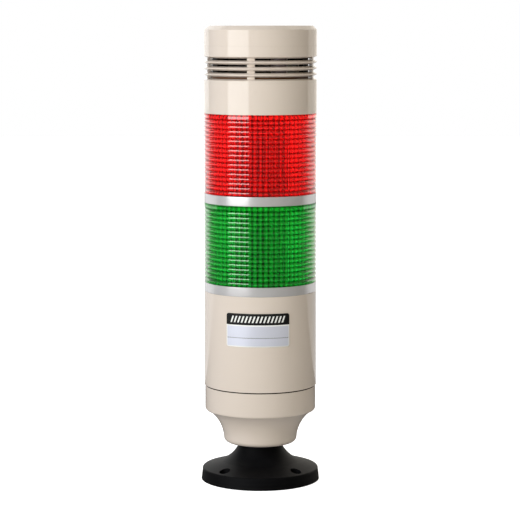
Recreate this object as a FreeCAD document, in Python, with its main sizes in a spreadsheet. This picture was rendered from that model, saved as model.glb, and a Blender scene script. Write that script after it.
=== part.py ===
import FreeCAD, Part
import Sketcher
import math
import os

# Signal tower of the 56 mm class: a bell-shaped mounting base, a flared bottom cover, a body housing with
# a nameplate, a green and a red lens on silver rings, a louvred buzzer housing and a bayonet lid.
# Millimetres and degrees. Z points up from the mounting face, and the nameplate faces -Y.

SIZES = (
    # tower
    ("tower_radius", 28.0),
    ("band_thickness", 1.2),
    ("nest_clearance", 0.2),
    ("nest_depth", 1.4),
    # base flange
    ("base_radius", 29.8),
    ("base_height", 20.8),
    ("rim_taper", 0.6),
    ("rim_rounding", 0.8),
    ("rim_height", 6.2),
    ("rim_wall", 3.0),
    ("shoulder_radius", 19.5),
    ("shoulder_height", 9.0),
    ("dome_curve", 19.0),
    ("dome_height", 17.5),
    ("neck_radius", 10.8),
    ("base_wall", 2.8),
    ("hub_radius", 10.2),
    ("hub_bottom", 9.0),
    ("fixing_edge_distance", 4.8),
    ("fixing_hole_radius", 2.75),
    ("fixing_hole_count", 4),
    ("boss_radius", 5.4),
    # hollow bolt that holds the tower on its base and passes the cable
    ("bolt_radius", 6.0),
    ("bolt_bore_radius", 4.0),
    ("bolt_clearance", 0.15),
    ("bolt_head_flats", 17.0),
    ("bolt_head_height", 4.0),
    ("bolt_washer_radius", 11.0),
    ("bolt_washer_thickness", 1.2),
    ("bolt_nut_flats", 18.0),
    ("bolt_nut_height", 6.0),
    ("bolt_reach", 2.0),
    ("seal_thickness", 1.0),
    ("seal_margin", 0.4),
    # bottom cover
    ("cover_recess_depth", 2.8),
    ("cover_recess_clearance", 0.3),
    ("cover_floor", 2.8),
    ("cover_wall", 2.2),
    ("cover_neck_radius", 18.3),
    ("cover_foot_rounding", 2.6),
    ("flare_curve", 18.9),
    ("flare_lift", 1.0),
    ("cover_step", 0.25),
    ("cover_corner", 1.4),
    ("cover_band", 11.2),
    ("seam_gap", 0.6),
    ("seam_depth", 1.5),
    ("spigot_length", 5.3),
    ("spigot_wall", 1.6),
    ("spigot_clearance", 0.3),
    # body housing
    ("body_height", 47.5),
    ("body_draft", 0.2),
    ("body_wall", 2.2),
    ("deck_drop", 3.0),
    ("deck_thickness", 2.4),
    ("rod_boss_radius", 5.0),
    ("rod_boss_length", 5.0),
    ("wire_hole_radius", 3.5),
    ("wire_offset", 15.0),
    # nameplate
    ("plate_angle", 66.0),
    ("plate_turn", 2.8),
    ("plate_rise", 22.8),
    ("plate_height", 16.5),
    ("plate_thickness", 0.25),
    ("plate_corner", 1.2),
    # silver rings
    ("ring_height", 4.7),
    ("ring_hole_radius", 5.5),
    # lenses
    ("lens_height", 39.7),
    ("lens_wall", 3.0),
    ("ridge_count", 16),
    ("ridge_depth", 0.62),
    ("lens_foot_band", 0.3),
    ("lens_head_band", 2.6),
    ("flute_count", 64),
    ("flute_depth", 0.6),
    ("flute_width_angle", 5.0),
    ("flute_margin", 1.5),
    # light modules
    ("board_thickness", 1.6),
    ("light_board_gap", 1.5),
    ("light_board_hole_radius", 4.5),
    ("column_half_width", 8.0),
    ("column_head_room", 8.7),
    ("led_size", 5.0),
    ("led_thickness", 1.5),
    ("led_rows", 4),
    ("led_end_margin", 1.3),
    ("plug_length", 8.0),
    ("plug_width", 5.0),
    ("plug_height", 6.0),
    ("plug_edge_distance", 6.5),
    # tie rod
    ("rod_radius", 2.0),
    ("rod_clearance", 0.2),
    ("rod_nut_flats", 7.0),
    ("rod_nut_height", 3.2),
    ("rod_washer_radius", 4.5),
    ("rod_washer_thickness", 0.8),
    ("rod_reach", 2.0),
    # buzzer housing
    ("buzzer_height", 33.1),
    ("buzzer_wall", 3.2),
    ("buzzer_deck", 2.0),
    ("slot_count", 4),
    ("slot_pitch", 3.0),
    ("slot_rise", 17.7),
    ("slot_gap", 0.95),
    ("slot_mouth", 2.6),
    ("slot_flare_depth", 1.5),
    ("rib_count", 4),
    ("rib_angle", 8.2),
    ("rib_turn", 9.9),
    # sounder
    ("sounder_board_clearance", 0.8),
    ("sounder_board_rise", 16.6),
    ("post_count", 3),
    ("post_radius", 3.0),
    ("post_edge_distance", 4.5),
    ("post_bore_radius", 1.2),
    ("post_bore_depth", 7.0),
    ("board_screw_radius", 1.15),
    ("board_screw_head_radius", 2.6),
    ("board_screw_head_height", 1.8),
    ("board_screw_grip", 6.0),
    ("board_screw_hole_radius", 1.5),
    ("sounder_post_distance", 7.3),
    ("sounder_height", 9.0),
    ("sounder_mouth_radius", 3.0),
    ("sounder_mouth_depth", 1.5),
    ("sounder_left", 4.0),
    ("sounder_back", 2.5),
    ("capacitor_radius", 4.2),
    ("capacitor_height", 10.0),
    ("capacitor_edge_distance", 5.4),
    ("capacitor_angle", 60.0),
    ("capacitor_neck_depth", 0.35),
    ("capacitor_neck_rise", 1.6),
    ("capacitor_neck_height", 0.8),
    ("sounder_plug_edge_distance", 8.8),
    ("reflector_edge_distance", 0.2),
    ("reflector_wall", 1.2),
    ("reflector_height", 9.7),
    ("reflector_angle", 236.0),
    # control board
    ("control_board_margin", 0.2),
    ("terminal_length", 32.0),
    ("terminal_width", 10.0),
    ("terminal_height", 10.0),
    ("terminal_count", 5),
    ("terminal_pitch", 6.0),
    ("terminal_hole_radius", 1.8),
    ("terminal_hole_depth", 6.0),
    ("terminal_screw_radius", 1.6),
    ("terminal_screw_height", 2.0),
    ("relay_length", 19.0),
    ("relay_width", 15.0),
    ("relay_height", 15.0),
    ("relay_left", 9.0),
    ("filter_capacitor_radius", 5.0),
    ("filter_capacitor_height", 16.0),
    ("filter_capacitor_right", 11.0),
    # lid
    ("lid_height", 9.9),
    ("lid_chamfer_width", 1.9),
    ("lid_chamfer_height", 2.0),
    ("lid_top", 2.4),
    ("lid_clearance", 0.3),
    ("skirt_length", 4.6),
    ("skirt_wall", 1.6),
    ("lug_count", 3),
    ("lug_angle", 18.0),
    ("lug_reach", 1.0),
    ("lug_height", 1.8),
    ("lug_side_angle", 1.0),
    ("entry_side_angle", 2.0),
    ("lid_turn", 25.0),
    ("lid_seal_margin", 0.8),
    ("lid_seal_width", 1.0),
    ("lid_seal_height", 1.0),
    ("lid_seal_play", 0.1),
)

# Heights and radii that follow from the sizes above, from the mounting face upwards.
LEVELS = (
    ("nest_radius", "dims.tower_radius - dims.band_thickness"),
    ("lens_inner_radius", "dims.tower_radius - dims.lens_wall"),
    ("cover_radius", "dims.tower_radius - dims.cover_step"),
    ("ridge_pitch", "(dims.lens_height - dims.lens_foot_band - dims.lens_head_band) / dims.ridge_count"),
    ("light_board_radius", "levels.lens_inner_radius - dims.light_board_gap"),
    ("plug_offset", "levels.light_board_radius - dims.plug_edge_distance"),
    ("column_height", "dims.lens_height - dims.column_head_room"),
    ("led_pitch", "(levels.column_height - dims.led_size - 2 * dims.led_end_margin) / (dims.led_rows - 1)"),
    ("nested_rim_radius", "levels.nest_radius - dims.nest_clearance"),
    ("rim_top_radius", "dims.base_radius - dims.rim_taper - dims.rim_rounding"),
    ("fixing_circle_radius", "dims.base_radius - dims.fixing_edge_distance"),
    ("chord_across", "dims.shoulder_radius - dims.neck_radius"),
    ("chord_up", "dims.dome_height - dims.shoulder_height"),
    ("chord", "sqrt(levels.chord_across ^ 2 + levels.chord_up ^ 2)"),
    ("dome_offset", "sqrt(dims.dome_curve ^ 2 - levels.chord ^ 2 / 4)"),
    (
        "dome_centre_radius",
        "(dims.shoulder_radius + dims.neck_radius) / 2 + levels.dome_offset * levels.chord_up / levels.chord",
    ),
    (
        "dome_centre_height",
        "(dims.shoulder_height + dims.dome_height) / 2 + levels.dome_offset * levels.chord_across / levels.chord",
    ),
    ("hollow_curve", "dims.dome_curve + dims.base_wall"),
    ("hollow_radius", "dims.base_radius - dims.rim_wall"),
    ("hollow_rim_height", "dims.rim_height - dims.base_wall"),
    (
        "hollow_shoulder_height",
        "levels.dome_centre_height"
        " - sqrt(levels.hollow_curve ^ 2 - (levels.dome_centre_radius - dims.shoulder_radius) ^ 2)",
    ),
    (
        "hollow_hub_height",
        "levels.dome_centre_height"
        " - sqrt(levels.hollow_curve ^ 2 - (levels.dome_centre_radius - dims.hub_radius) ^ 2)",
    ),
    ("bolt_hole_radius", "dims.bolt_radius + dims.bolt_clearance"),
    ("seal_top", "dims.base_height + dims.seal_thickness"),
    ("cover_bottom", "levels.seal_top - dims.cover_recess_depth"),
    ("cover_floor_top", "levels.seal_top + dims.cover_floor"),
    ("bolt_nut_bottom", "levels.cover_floor_top + dims.bolt_washer_thickness"),
    ("bolt_top", "levels.bolt_nut_bottom + dims.bolt_nut_height + dims.bolt_reach"),
    ("bolt_bottom", "dims.hub_bottom - dims.bolt_head_height"),
    ("flare_bottom", "levels.cover_bottom + dims.cover_foot_rounding"),
    ("flare_centre_radius", "dims.cover_neck_radius + dims.flare_curve"),
    ("flare_centre_height", "levels.cover_bottom + dims.flare_lift"),
    (
        "flare_foot_radius",
        "levels.flare_centre_radius"
        " - sqrt(dims.flare_curve ^ 2 - (levels.flare_bottom - levels.flare_centre_height) ^ 2)",
    ),
    ("flare_end_radius", "levels.cover_radius - dims.cover_corner"),
    (
        "flare_top",
        "levels.flare_centre_height"
        " + sqrt(dims.flare_curve ^ 2 - (levels.flare_centre_radius - levels.flare_end_radius) ^ 2)",
    ),
    ("cover_shoulder", "levels.flare_top + dims.cover_corner + dims.cover_band"),
    ("body_bottom", "levels.cover_shoulder + dims.seam_gap"),
    ("body_inner_radius", "dims.tower_radius - dims.body_wall"),
    ("spigot_radius", "levels.body_inner_radius - dims.spigot_clearance"),
    ("cover_inner_radius", "levels.spigot_radius - dims.spigot_wall"),
    ("spigot_top", "levels.body_bottom + dims.spigot_length"),
    ("inner_flare_curve", "dims.flare_curve + dims.cover_wall"),
    (
        "inner_flare_radius",
        "levels.flare_centre_radius"
        " - sqrt(levels.inner_flare_curve ^ 2 - (levels.cover_floor_top - levels.flare_centre_height) ^ 2)",
    ),
    (
        "inner_flare_top",
        "levels.flare_centre_height"
        " + sqrt(levels.inner_flare_curve ^ 2 - (levels.flare_centre_radius - levels.cover_inner_radius) ^ 2)",
    ),
    ("body_top", "levels.body_bottom + dims.body_height"),
    ("deck_top", "levels.body_top - dims.deck_drop"),
    ("deck_bottom", "levels.deck_top - dims.deck_thickness"),
    ("rod_boss_bottom", "levels.deck_bottom - dims.rod_boss_length"),
    ("plate_bottom", "levels.body_bottom + dims.plate_rise"),
    ("plate_top", "levels.plate_bottom + dims.plate_height"),
    ("body_slope", "dims.body_draft / dims.body_height"),
    ("plate_foot_radius", "dims.tower_radius + (levels.body_top - levels.plate_bottom) * levels.body_slope"),
    ("plate_head_radius", "dims.tower_radius + (levels.body_top - levels.plate_top) * levels.body_slope"),
    ("green_bottom", "levels.body_top + dims.ring_height"),
    ("middle_ring_bottom", "levels.green_bottom + dims.lens_height"),
    ("red_bottom", "levels.middle_ring_bottom + dims.ring_height"),
    ("buzzer_bottom", "levels.red_bottom + dims.lens_height"),
    ("buzzer_deck_bottom", "levels.buzzer_bottom + dims.nest_depth"),
    ("buzzer_deck_top", "levels.buzzer_deck_bottom + dims.buzzer_deck"),
    ("buzzer_inner_radius", "dims.tower_radius - dims.buzzer_wall"),
    ("slot_bottom", "levels.buzzer_bottom + dims.slot_rise"),
    ("flare_root_radius", "dims.tower_radius - dims.slot_flare_depth"),
    ("sounder_board_bottom", "levels.buzzer_bottom + dims.sounder_board_rise"),
    ("sounder_board_top", "levels.sounder_board_bottom + dims.board_thickness"),
    ("sounder_board_radius", "levels.buzzer_inner_radius - dims.sounder_board_clearance"),
    ("post_circle_radius", "levels.sounder_board_radius - dims.post_edge_distance"),
    ("sounder_radius", "levels.post_circle_radius - dims.sounder_post_distance"),
    ("capacitor_reach", "levels.sounder_board_radius - dims.capacitor_edge_distance"),
    ("capacitor_right", "levels.capacitor_reach * cos(dims.capacitor_angle)"),
    ("capacitor_front", "levels.capacitor_reach * sin(dims.capacitor_angle)"),
    ("sounder_plug_right", "levels.sounder_board_radius - dims.sounder_plug_edge_distance"),
    ("reflector_radius", "levels.sounder_board_radius - dims.reflector_edge_distance"),
    ("lid_bottom", "levels.buzzer_bottom + dims.buzzer_height"),
    ("lid_top_height", "levels.lid_bottom + dims.lid_height"),
    ("skirt_radius", "levels.buzzer_inner_radius - dims.lid_clearance"),
    ("skirt_inner_radius", "levels.skirt_radius - dims.skirt_wall"),
    ("skirt_bottom", "levels.lid_bottom - dims.skirt_length"),
    ("lid_seal_radius", "dims.tower_radius - dims.lid_seal_margin - dims.lid_seal_width"),
    ("lug_radius", "levels.skirt_radius + dims.lug_reach"),
    ("track_radius", "levels.lug_radius + dims.lid_clearance"),
    ("track_bottom", "levels.skirt_bottom - dims.lid_clearance"),
    ("track_top", "levels.skirt_bottom + dims.lug_height + dims.lid_clearance"),
    ("rod_hole_radius", "dims.rod_radius + dims.rod_clearance"),
    ("rod_bottom_washer", "levels.rod_boss_bottom - dims.rod_washer_thickness"),
    ("rod_bottom_nut", "levels.rod_bottom_washer - dims.rod_nut_height"),
    ("rod_top_nut", "levels.buzzer_deck_top + dims.rod_washer_thickness"),
    ("rod_bottom", "levels.rod_bottom_nut - dims.rod_reach"),
    ("rod_top", "levels.rod_top_nut + dims.rod_nut_height + dims.rod_reach"),
    ("control_board_top", "levels.spigot_top + dims.board_thickness"),
)

# The front of the tower, and the first fixing hole, 45 degrees to its right.
FRONT_ANGLE = -90.0
FIRST_HOLE_ANGLE = -45.0
# How far a cutting sketch runs past the face that it opens.
OVERRUN = 1.0

doc = FreeCAD.newDocument("signal_tower")
dims = doc.addObject("Spreadsheet::Sheet", "dims")
for row, (alias, value) in enumerate(SIZES, start=1):
    dims.set(f"A{row}", alias)
    dims.set(f"B{row}", str(value))
    dims.setAlias(f"B{row}", alias)
doc.recompute()
levels = doc.addObject("App::VarSet", "levels")
for alias, expression in LEVELS:
    levels.addProperty("App::PropertyFloat", alias, "Levels")
    levels.setExpression(alias, expression)
    doc.recompute()

sub_parts = []


def number(expression):
    """The present value of an expression of the sheet and the levels."""
    return float(levels.evalExpression(str(expression)))


def new_body(name):
    """An empty body that becomes the sub-part of this name."""
    body = doc.addObject("PartDesign::Body", name)
    body.Label = name
    sub_parts.append(body)
    return body


def origin_part(body, role):
    """A plane or an axis of the body's own origin."""
    return next(part for part in body.Origin.OriginFeatures if part.Role == role)


def new_sketch(body, name, plane, height=None, turn=None):
    """A sketch on an origin plane, lifted to a height or turned about Z by an angle."""
    sketch = body.newObject("Sketcher::SketchObject", name)
    sketch.AttachmentSupport = [(origin_part(body, plane), "")]
    sketch.MapMode = "FlatFace"
    if height is not None:
        sketch.setExpression("AttachmentOffset.Base.z", height)
    if turn is not None:
        about_z = FreeCAD.Rotation(FreeCAD.Vector(0, 1, 0), number(turn))
        sketch.AttachmentOffset = FreeCAD.Placement(FreeCAD.Vector(0, 0, 0), about_z)
    return sketch


def bind(sketch, kind, *terms):
    """Add a dimension whose value is the last term, an expression."""
    *where, expression = terms
    index = sketch.addConstraint(Sketcher.Constraint(kind, *where, number(expression)))
    sketch.setExpression(f"Constraints[{index}]", expression)


def arc_between(start, end, radius, side):
    """The short arc from start to end that bulges to the left (side 1) or the right (side -1)."""
    chord = end - start
    middle = (start + end) * 0.5
    left = FreeCAD.Vector(-chord.y, chord.x, 0).normalize()
    centre = middle - left * side * math.sqrt(radius**2 - (chord.Length / 2) ** 2)
    first, last = (end, start) if side > 0 else (start, end)
    circle = Part.Circle(centre, FreeCAD.Vector(0, 0, 1), radius)
    angles = [math.atan2(point.y - centre.y, point.x - centre.x) for point in (first, last)]
    return Part.ArcOfCircle(circle, angles[0], angles[1])


def outline(sketch, points, arcs=None):
    """Draw a closed outline through points given as expressions; arcs maps an edge to radius and side."""
    arcs = arcs or {}
    places = [FreeCAD.Vector(number(across), number(up), 0) for across, up in points]
    ends = []
    for index, start in enumerate(places):
        end = places[(index + 1) % len(places)]
        if index in arcs:
            radius, side = arcs[index]
            sketch.addGeometry(arc_between(start, end, number(radius), side), False)
            ends.append((2, 1) if side > 0 else (1, 2))
        else:
            sketch.addGeometry(Part.LineSegment(start, end), False)
            ends.append((1, 2))
    for index in range(len(places)):
        after = (index + 1) % len(places)
        sketch.addConstraint(Sketcher.Constraint("Coincident", index, ends[index][1], after, ends[after][0]))
    for index, (across, up) in enumerate(points):
        bind(sketch, "DistanceX", -1, 1, index, ends[index][0], across)
        bind(sketch, "DistanceY", -1, 1, index, ends[index][0], up)
    for index, (radius, _side) in arcs.items():
        bind(sketch, "Radius", index, radius)
    return sketch


def circle(sketch, radius, across="0", up="0"):
    """Draw a circle about a point of the sketch."""
    place = FreeCAD.Vector(number(across), number(up), 0)
    index = sketch.addGeometry(Part.Circle(place, FreeCAD.Vector(0, 0, 1), number(radius)), False)
    bind(sketch, "DistanceX", -1, 1, index, 3, across)
    bind(sketch, "DistanceY", -1, 1, index, 3, up)
    bind(sketch, "Radius", index, radius)
    return sketch


def box_points(left, right, low, high):
    """The corners of an upright rectangle."""
    return [(left, low), (right, low), (right, high), (left, high)]


def polar_points(radius, angle):
    """A point of a sketch at a radius and an angle, as expressions."""
    return (f"({radius}) * cos({angle})", f"({radius}) * sin({angle})")


def hexagon(sketch, flats):
    """Draw a hexagon by its width across flats."""
    corner = f"{flats} / 2 / cos(30)"
    return outline(sketch, [polar_points(corner, 60 * side) for side in range(6)])


def turned(body, kind, sketch, angle=None):
    """Revolve or groove a sketch about Z, all round or over an angle to both sides of its plane."""
    feature = body.newObject(f"PartDesign::{kind}", f"{sketch.Name}_{kind.lower()}")
    feature.Profile = sketch
    feature.ReferenceAxis = (sketch, ["V_Axis"])
    if angle is None:
        feature.Angle = 360
    else:
        feature.Midplane = True
        feature.setExpression("Angle", angle)
    doc.recompute()
    return feature


def raised(body, sketch, length):
    """Pad a level sketch upwards."""
    feature = body.newObject("PartDesign::Pad", f"{sketch.Name}_pad")
    feature.Profile = sketch
    feature.setExpression("Length", length)
    doc.recompute()
    return feature


def sunk(body, sketch, length):
    """Pocket a level sketch upwards, from its own plane."""
    feature = body.newObject("PartDesign::Pocket", f"{sketch.Name}_pocket")
    feature.Profile = sketch
    feature.Reversed = True
    feature.setExpression("Length", length)
    doc.recompute()
    return feature


def round_pattern(body, feature, count):
    """Repeat a feature evenly about Z."""
    pattern = body.newObject("PartDesign::PolarPattern", f"{feature.Name}_round")
    pattern.Originals = [feature]
    pattern.Axis = (origin_part(body, "Z_Axis"), [""])
    pattern.Angle = 360
    pattern.setExpression("Occurrences", count)
    body.Tip = pattern
    doc.recompute()
    return pattern


def row_pattern(body, feature, axis, count, pitch):
    """Repeat a feature in a straight row."""
    pattern = body.newObject("PartDesign::LinearPattern", f"{feature.Name}_row")
    pattern.Originals = [feature]
    pattern.Direction = (origin_part(body, axis), [""])
    pattern.setExpression("Length", f"({count} - 1) * {pitch}")
    pattern.setExpression("Occurrences", count)
    body.Tip = pattern
    doc.recompute()
    return pattern


def disc(name, radius, bottom, thickness, hole=None):
    """A washer or a round board."""
    body = new_body(name)
    sketch = new_sketch(body, f"{name}_outline", "XY_Plane", bottom)
    circle(sketch, radius)
    if hole is not None:
        circle(sketch, hole)
    raised(body, sketch, thickness)
    return body


def block(name, left, right, front, back, bottom, height):
    """A rectangular component that stands on a board."""
    body = new_body(name)
    sketch = new_sketch(body, f"{name}_outline", "XY_Plane", bottom)
    outline(sketch, box_points(left, right, front, back))
    raised(body, sketch, height)
    return body


def hex_nut(name, flats, bore, bottom, height):
    """A hexagon nut."""
    body = new_body(name)
    sketch = new_sketch(body, f"{name}_outline", "XY_Plane", bottom)
    hexagon(sketch, flats)
    circle(sketch, bore)
    raised(body, sketch, height)
    return body


def solids(name, shapes):
    """A group of like loose pieces kept as one sub-part."""
    feature = doc.addObject("Part::Feature", name)
    feature.Label = name
    feature.Shape = Part.makeCompound(shapes)
    sub_parts.append(feature)
    return feature


def base_flange():
    """The bell on four screws: a dome with its fixing holes, less a hollow that leaves hub and bosses."""
    bell = doc.addObject("PartDesign::Body", "bell")
    section = new_sketch(bell, "bell_section", "XZ_Plane")
    points = [
        ("levels.bolt_hole_radius", "0"),
        ("dims.base_radius", "0"),
        ("dims.base_radius - dims.rim_taper", "dims.rim_height - dims.rim_rounding"),
        ("levels.rim_top_radius", "dims.rim_height"),
        ("dims.shoulder_radius", "dims.shoulder_height"),
        ("dims.neck_radius", "dims.dome_height"),
        ("dims.neck_radius", "dims.base_height"),
        ("levels.bolt_hole_radius", "dims.base_height"),
    ]
    outline(section, points, {2: ("dims.rim_rounding", -1), 4: ("dims.dome_curve", 1)})
    turned(bell, "Revolution", section)
    hole = new_sketch(bell, "fixing_hole", "XY_Plane")
    circle(hole, "dims.fixing_hole_radius", *polar_points("levels.fixing_circle_radius", FIRST_HOLE_ANGLE))
    round_pattern(bell, sunk(bell, hole, "dims.base_height"), "dims.fixing_hole_count")

    hollow = doc.addObject("PartDesign::Body", "hollow")
    core = new_sketch(hollow, "hollow_section", "XZ_Plane")
    points = [
        ("0", "0"),
        ("levels.hollow_radius", "0"),
        ("levels.hollow_radius", "levels.hollow_rim_height"),
        ("dims.shoulder_radius", "levels.hollow_shoulder_height"),
        ("dims.hub_radius", "levels.hollow_hub_height"),
        ("dims.hub_radius", "dims.hub_bottom"),
        ("0", "dims.hub_bottom"),
    ]
    outline(core, points, {3: ("levels.hollow_curve", 1)})
    turned(hollow, "Revolution", core)
    boss = new_sketch(hollow, "screw_boss", "XY_Plane")
    circle(boss, "dims.boss_radius", *polar_points("levels.fixing_circle_radius", FIRST_HOLE_ANGLE))
    round_pattern(hollow, sunk(hollow, boss, "dims.base_height"), "dims.fixing_hole_count")

    flange = doc.addObject("Part::Cut", "base_flange")
    flange.Label = "base_flange"
    flange.Base = bell
    flange.Tool = hollow
    sub_parts.append(flange)


def hollow_bolt():
    """Hexagon head, shank and cable bore."""
    body = new_body("hollow_bolt")
    head = new_sketch(body, "bolt_head", "XY_Plane", "levels.bolt_bottom")
    hexagon(head, "dims.bolt_head_flats")
    raised(body, head, "dims.bolt_head_height")
    shank = new_sketch(body, "bolt_shank", "XY_Plane", "dims.hub_bottom")
    circle(shank, "dims.bolt_radius")
    raised(body, shank, "levels.bolt_top - dims.hub_bottom")
    bore = new_sketch(body, "bolt_bore", "XY_Plane")
    circle(bore, "dims.bolt_bore_radius")
    sunk(body, bore, "levels.bolt_top + dims.bolt_reach")


def bottom_cover():
    """The flared cup: it takes the neck in a recess, and the body housing slides over its spigot."""
    body = new_body("bottom_cover")
    section = new_sketch(body, "cover_section", "XZ_Plane")
    recess = "dims.neck_radius + dims.cover_recess_clearance"
    points = [
        ("levels.bolt_hole_radius", "levels.seal_top"),
        (recess, "levels.seal_top"),
        (recess, "levels.cover_bottom"),
        ("levels.flare_foot_radius - dims.cover_foot_rounding", "levels.cover_bottom"),
        ("levels.flare_foot_radius", "levels.flare_bottom"),
        ("levels.flare_end_radius", "levels.flare_top"),
        ("levels.cover_radius", "levels.flare_top + dims.cover_corner"),
        ("levels.cover_radius", "levels.cover_shoulder"),
        ("levels.cover_radius - dims.seam_depth", "levels.cover_shoulder"),
        ("levels.cover_radius - dims.seam_depth", "levels.body_bottom"),
        ("levels.spigot_radius", "levels.body_bottom"),
        ("levels.spigot_radius", "levels.spigot_top"),
        ("levels.cover_inner_radius", "levels.spigot_top"),
        ("levels.cover_inner_radius", "levels.inner_flare_top"),
        ("levels.inner_flare_radius", "levels.cover_floor_top"),
        ("levels.bolt_hole_radius", "levels.cover_floor_top"),
    ]
    arcs = {
        3: ("dims.cover_foot_rounding", -1),
        4: ("dims.flare_curve", 1),
        5: ("dims.cover_corner", -1),
        13: ("levels.inner_flare_curve", -1),
    }
    outline(section, points, arcs)
    turned(body, "Revolution", section)


def body_housing():
    """The drafted sleeve with its deck, the boss of the tie rod and the rim under the lower ring."""
    body = new_body("body_housing")
    section = new_sketch(body, "body_section", "XZ_Plane")
    points = [
        ("levels.body_inner_radius", "levels.body_bottom"),
        ("dims.tower_radius + dims.body_draft", "levels.body_bottom"),
        ("dims.tower_radius", "levels.body_top"),
        ("levels.nested_rim_radius", "levels.body_top"),
        ("levels.nested_rim_radius", "levels.body_top + dims.nest_depth"),
        ("levels.lens_inner_radius", "levels.body_top + dims.nest_depth"),
        ("levels.lens_inner_radius", "levels.deck_top"),
        ("levels.rod_hole_radius", "levels.deck_top"),
        ("levels.rod_hole_radius", "levels.rod_boss_bottom"),
        ("dims.rod_boss_radius", "levels.rod_boss_bottom"),
        ("dims.rod_boss_radius", "levels.deck_bottom"),
        ("levels.body_inner_radius", "levels.deck_bottom"),
    ]
    outline(section, points)
    turned(body, "Revolution", section)
    wires = new_sketch(body, "wire_hole", "XY_Plane", "levels.rod_boss_bottom")
    circle(wires, "dims.wire_hole_radius", "0", "dims.wire_offset")
    sunk(body, wires, "dims.body_height")


def nameplate():
    """A thin curved plate that lies on the front of the body housing, with rounded corners."""
    body = new_body("nameplate")
    section = new_sketch(body, "plate_section", "XZ_Plane", turn=f"{FRONT_ANGLE} - dims.plate_turn")
    points = [
        ("levels.plate_foot_radius", "levels.plate_bottom"),
        ("levels.plate_foot_radius + dims.plate_thickness", "levels.plate_bottom"),
        ("levels.plate_head_radius + dims.plate_thickness", "levels.plate_top"),
        ("levels.plate_head_radius", "levels.plate_top"),
    ]
    outline(section, points)
    plate = turned(body, "Revolution", section, "dims.plate_angle")
    corners = []
    for index, edge in enumerate(plate.Shape.Edges, start=1):
        if edge.Length < 2 * number("dims.plate_thickness"):
            corners.append(f"Edge{index}")
    fillet = body.newObject("PartDesign::Fillet", "plate_corners")
    fillet.Base = (plate, corners)
    fillet.setExpression("Radius", "dims.plate_corner")
    body.Tip = fillet
    doc.recompute()


def silver_ring(name, bottom):
    """A band with a web: the rims of the pieces below and above nest in it."""
    body = new_body(name)
    section = new_sketch(body, f"{name}_section", "XZ_Plane")
    top = f"{bottom} + dims.ring_height"
    points = [
        ("dims.ring_hole_radius", f"{bottom} + dims.nest_depth"),
        ("levels.nest_radius", f"{bottom} + dims.nest_depth"),
        ("levels.nest_radius", bottom),
        ("dims.tower_radius", bottom),
        ("dims.tower_radius", top),
        ("levels.nest_radius", top),
        ("levels.nest_radius", f"{top} - dims.nest_depth"),
        ("dims.ring_hole_radius", f"{top} - dims.nest_depth"),
    ]
    outline(section, points)
    turned(body, "Revolution", section)
    wires = new_sketch(body, f"{name}_wire_hole", "XY_Plane", bottom)
    circle(wires, "dims.wire_hole_radius", "0", "dims.wire_offset")
    sunk(body, wires, "dims.ring_height")


def lens(name, bottom):
    """A ribbed tube: ridges run round the outside and flutes run up the inside, as on a signal lens."""
    body = new_body(name)
    section = new_sketch(body, f"{name}_section", "XZ_Plane")
    top = f"{bottom} + dims.lens_height"
    valley = "dims.tower_radius - dims.ridge_depth"
    points = [
        ("levels.lens_inner_radius", f"{bottom} - dims.nest_depth"),
        ("levels.nested_rim_radius", f"{bottom} - dims.nest_depth"),
        ("levels.nested_rim_radius", bottom),
        (valley, bottom),
        (valley, f"{bottom} + dims.lens_foot_band"),
    ]
    for ridge in range(int(number("dims.ridge_count"))):
        start = f"{bottom} + dims.lens_foot_band + {ridge} * levels.ridge_pitch"
        points.append(("dims.tower_radius", f"{start} + levels.ridge_pitch / 2"))
        points.append((valley, f"{start} + levels.ridge_pitch"))
    points += [
        ("dims.tower_radius", f"{start} + levels.ridge_pitch + dims.ridge_depth"),
        ("dims.tower_radius", top),
        ("levels.nested_rim_radius", top),
        ("levels.nested_rim_radius", f"{top} + dims.nest_depth"),
        ("levels.lens_inner_radius", f"{top} + dims.nest_depth"),
    ]
    outline(section, points)
    turned(body, "Revolution", section)
    flute = new_sketch(body, f"{name}_flute", "XY_Plane", f"{bottom} + dims.flute_margin")
    half_width = "dims.flute_width_angle / 2"
    inside = "levels.lens_inner_radius - dims.flute_depth"
    corners = [
        polar_points(inside, f"-{half_width}"),
        polar_points("levels.lens_inner_radius", f"-{half_width}"),
        polar_points("levels.lens_inner_radius + dims.flute_depth", "0"),
        polar_points("levels.lens_inner_radius", half_width),
        polar_points(inside, half_width),
    ]
    outline(flute, corners)
    cut = sunk(body, flute, "dims.lens_height - 2 * dims.flute_margin")
    round_pattern(body, cut, "dims.flute_count")


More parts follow.
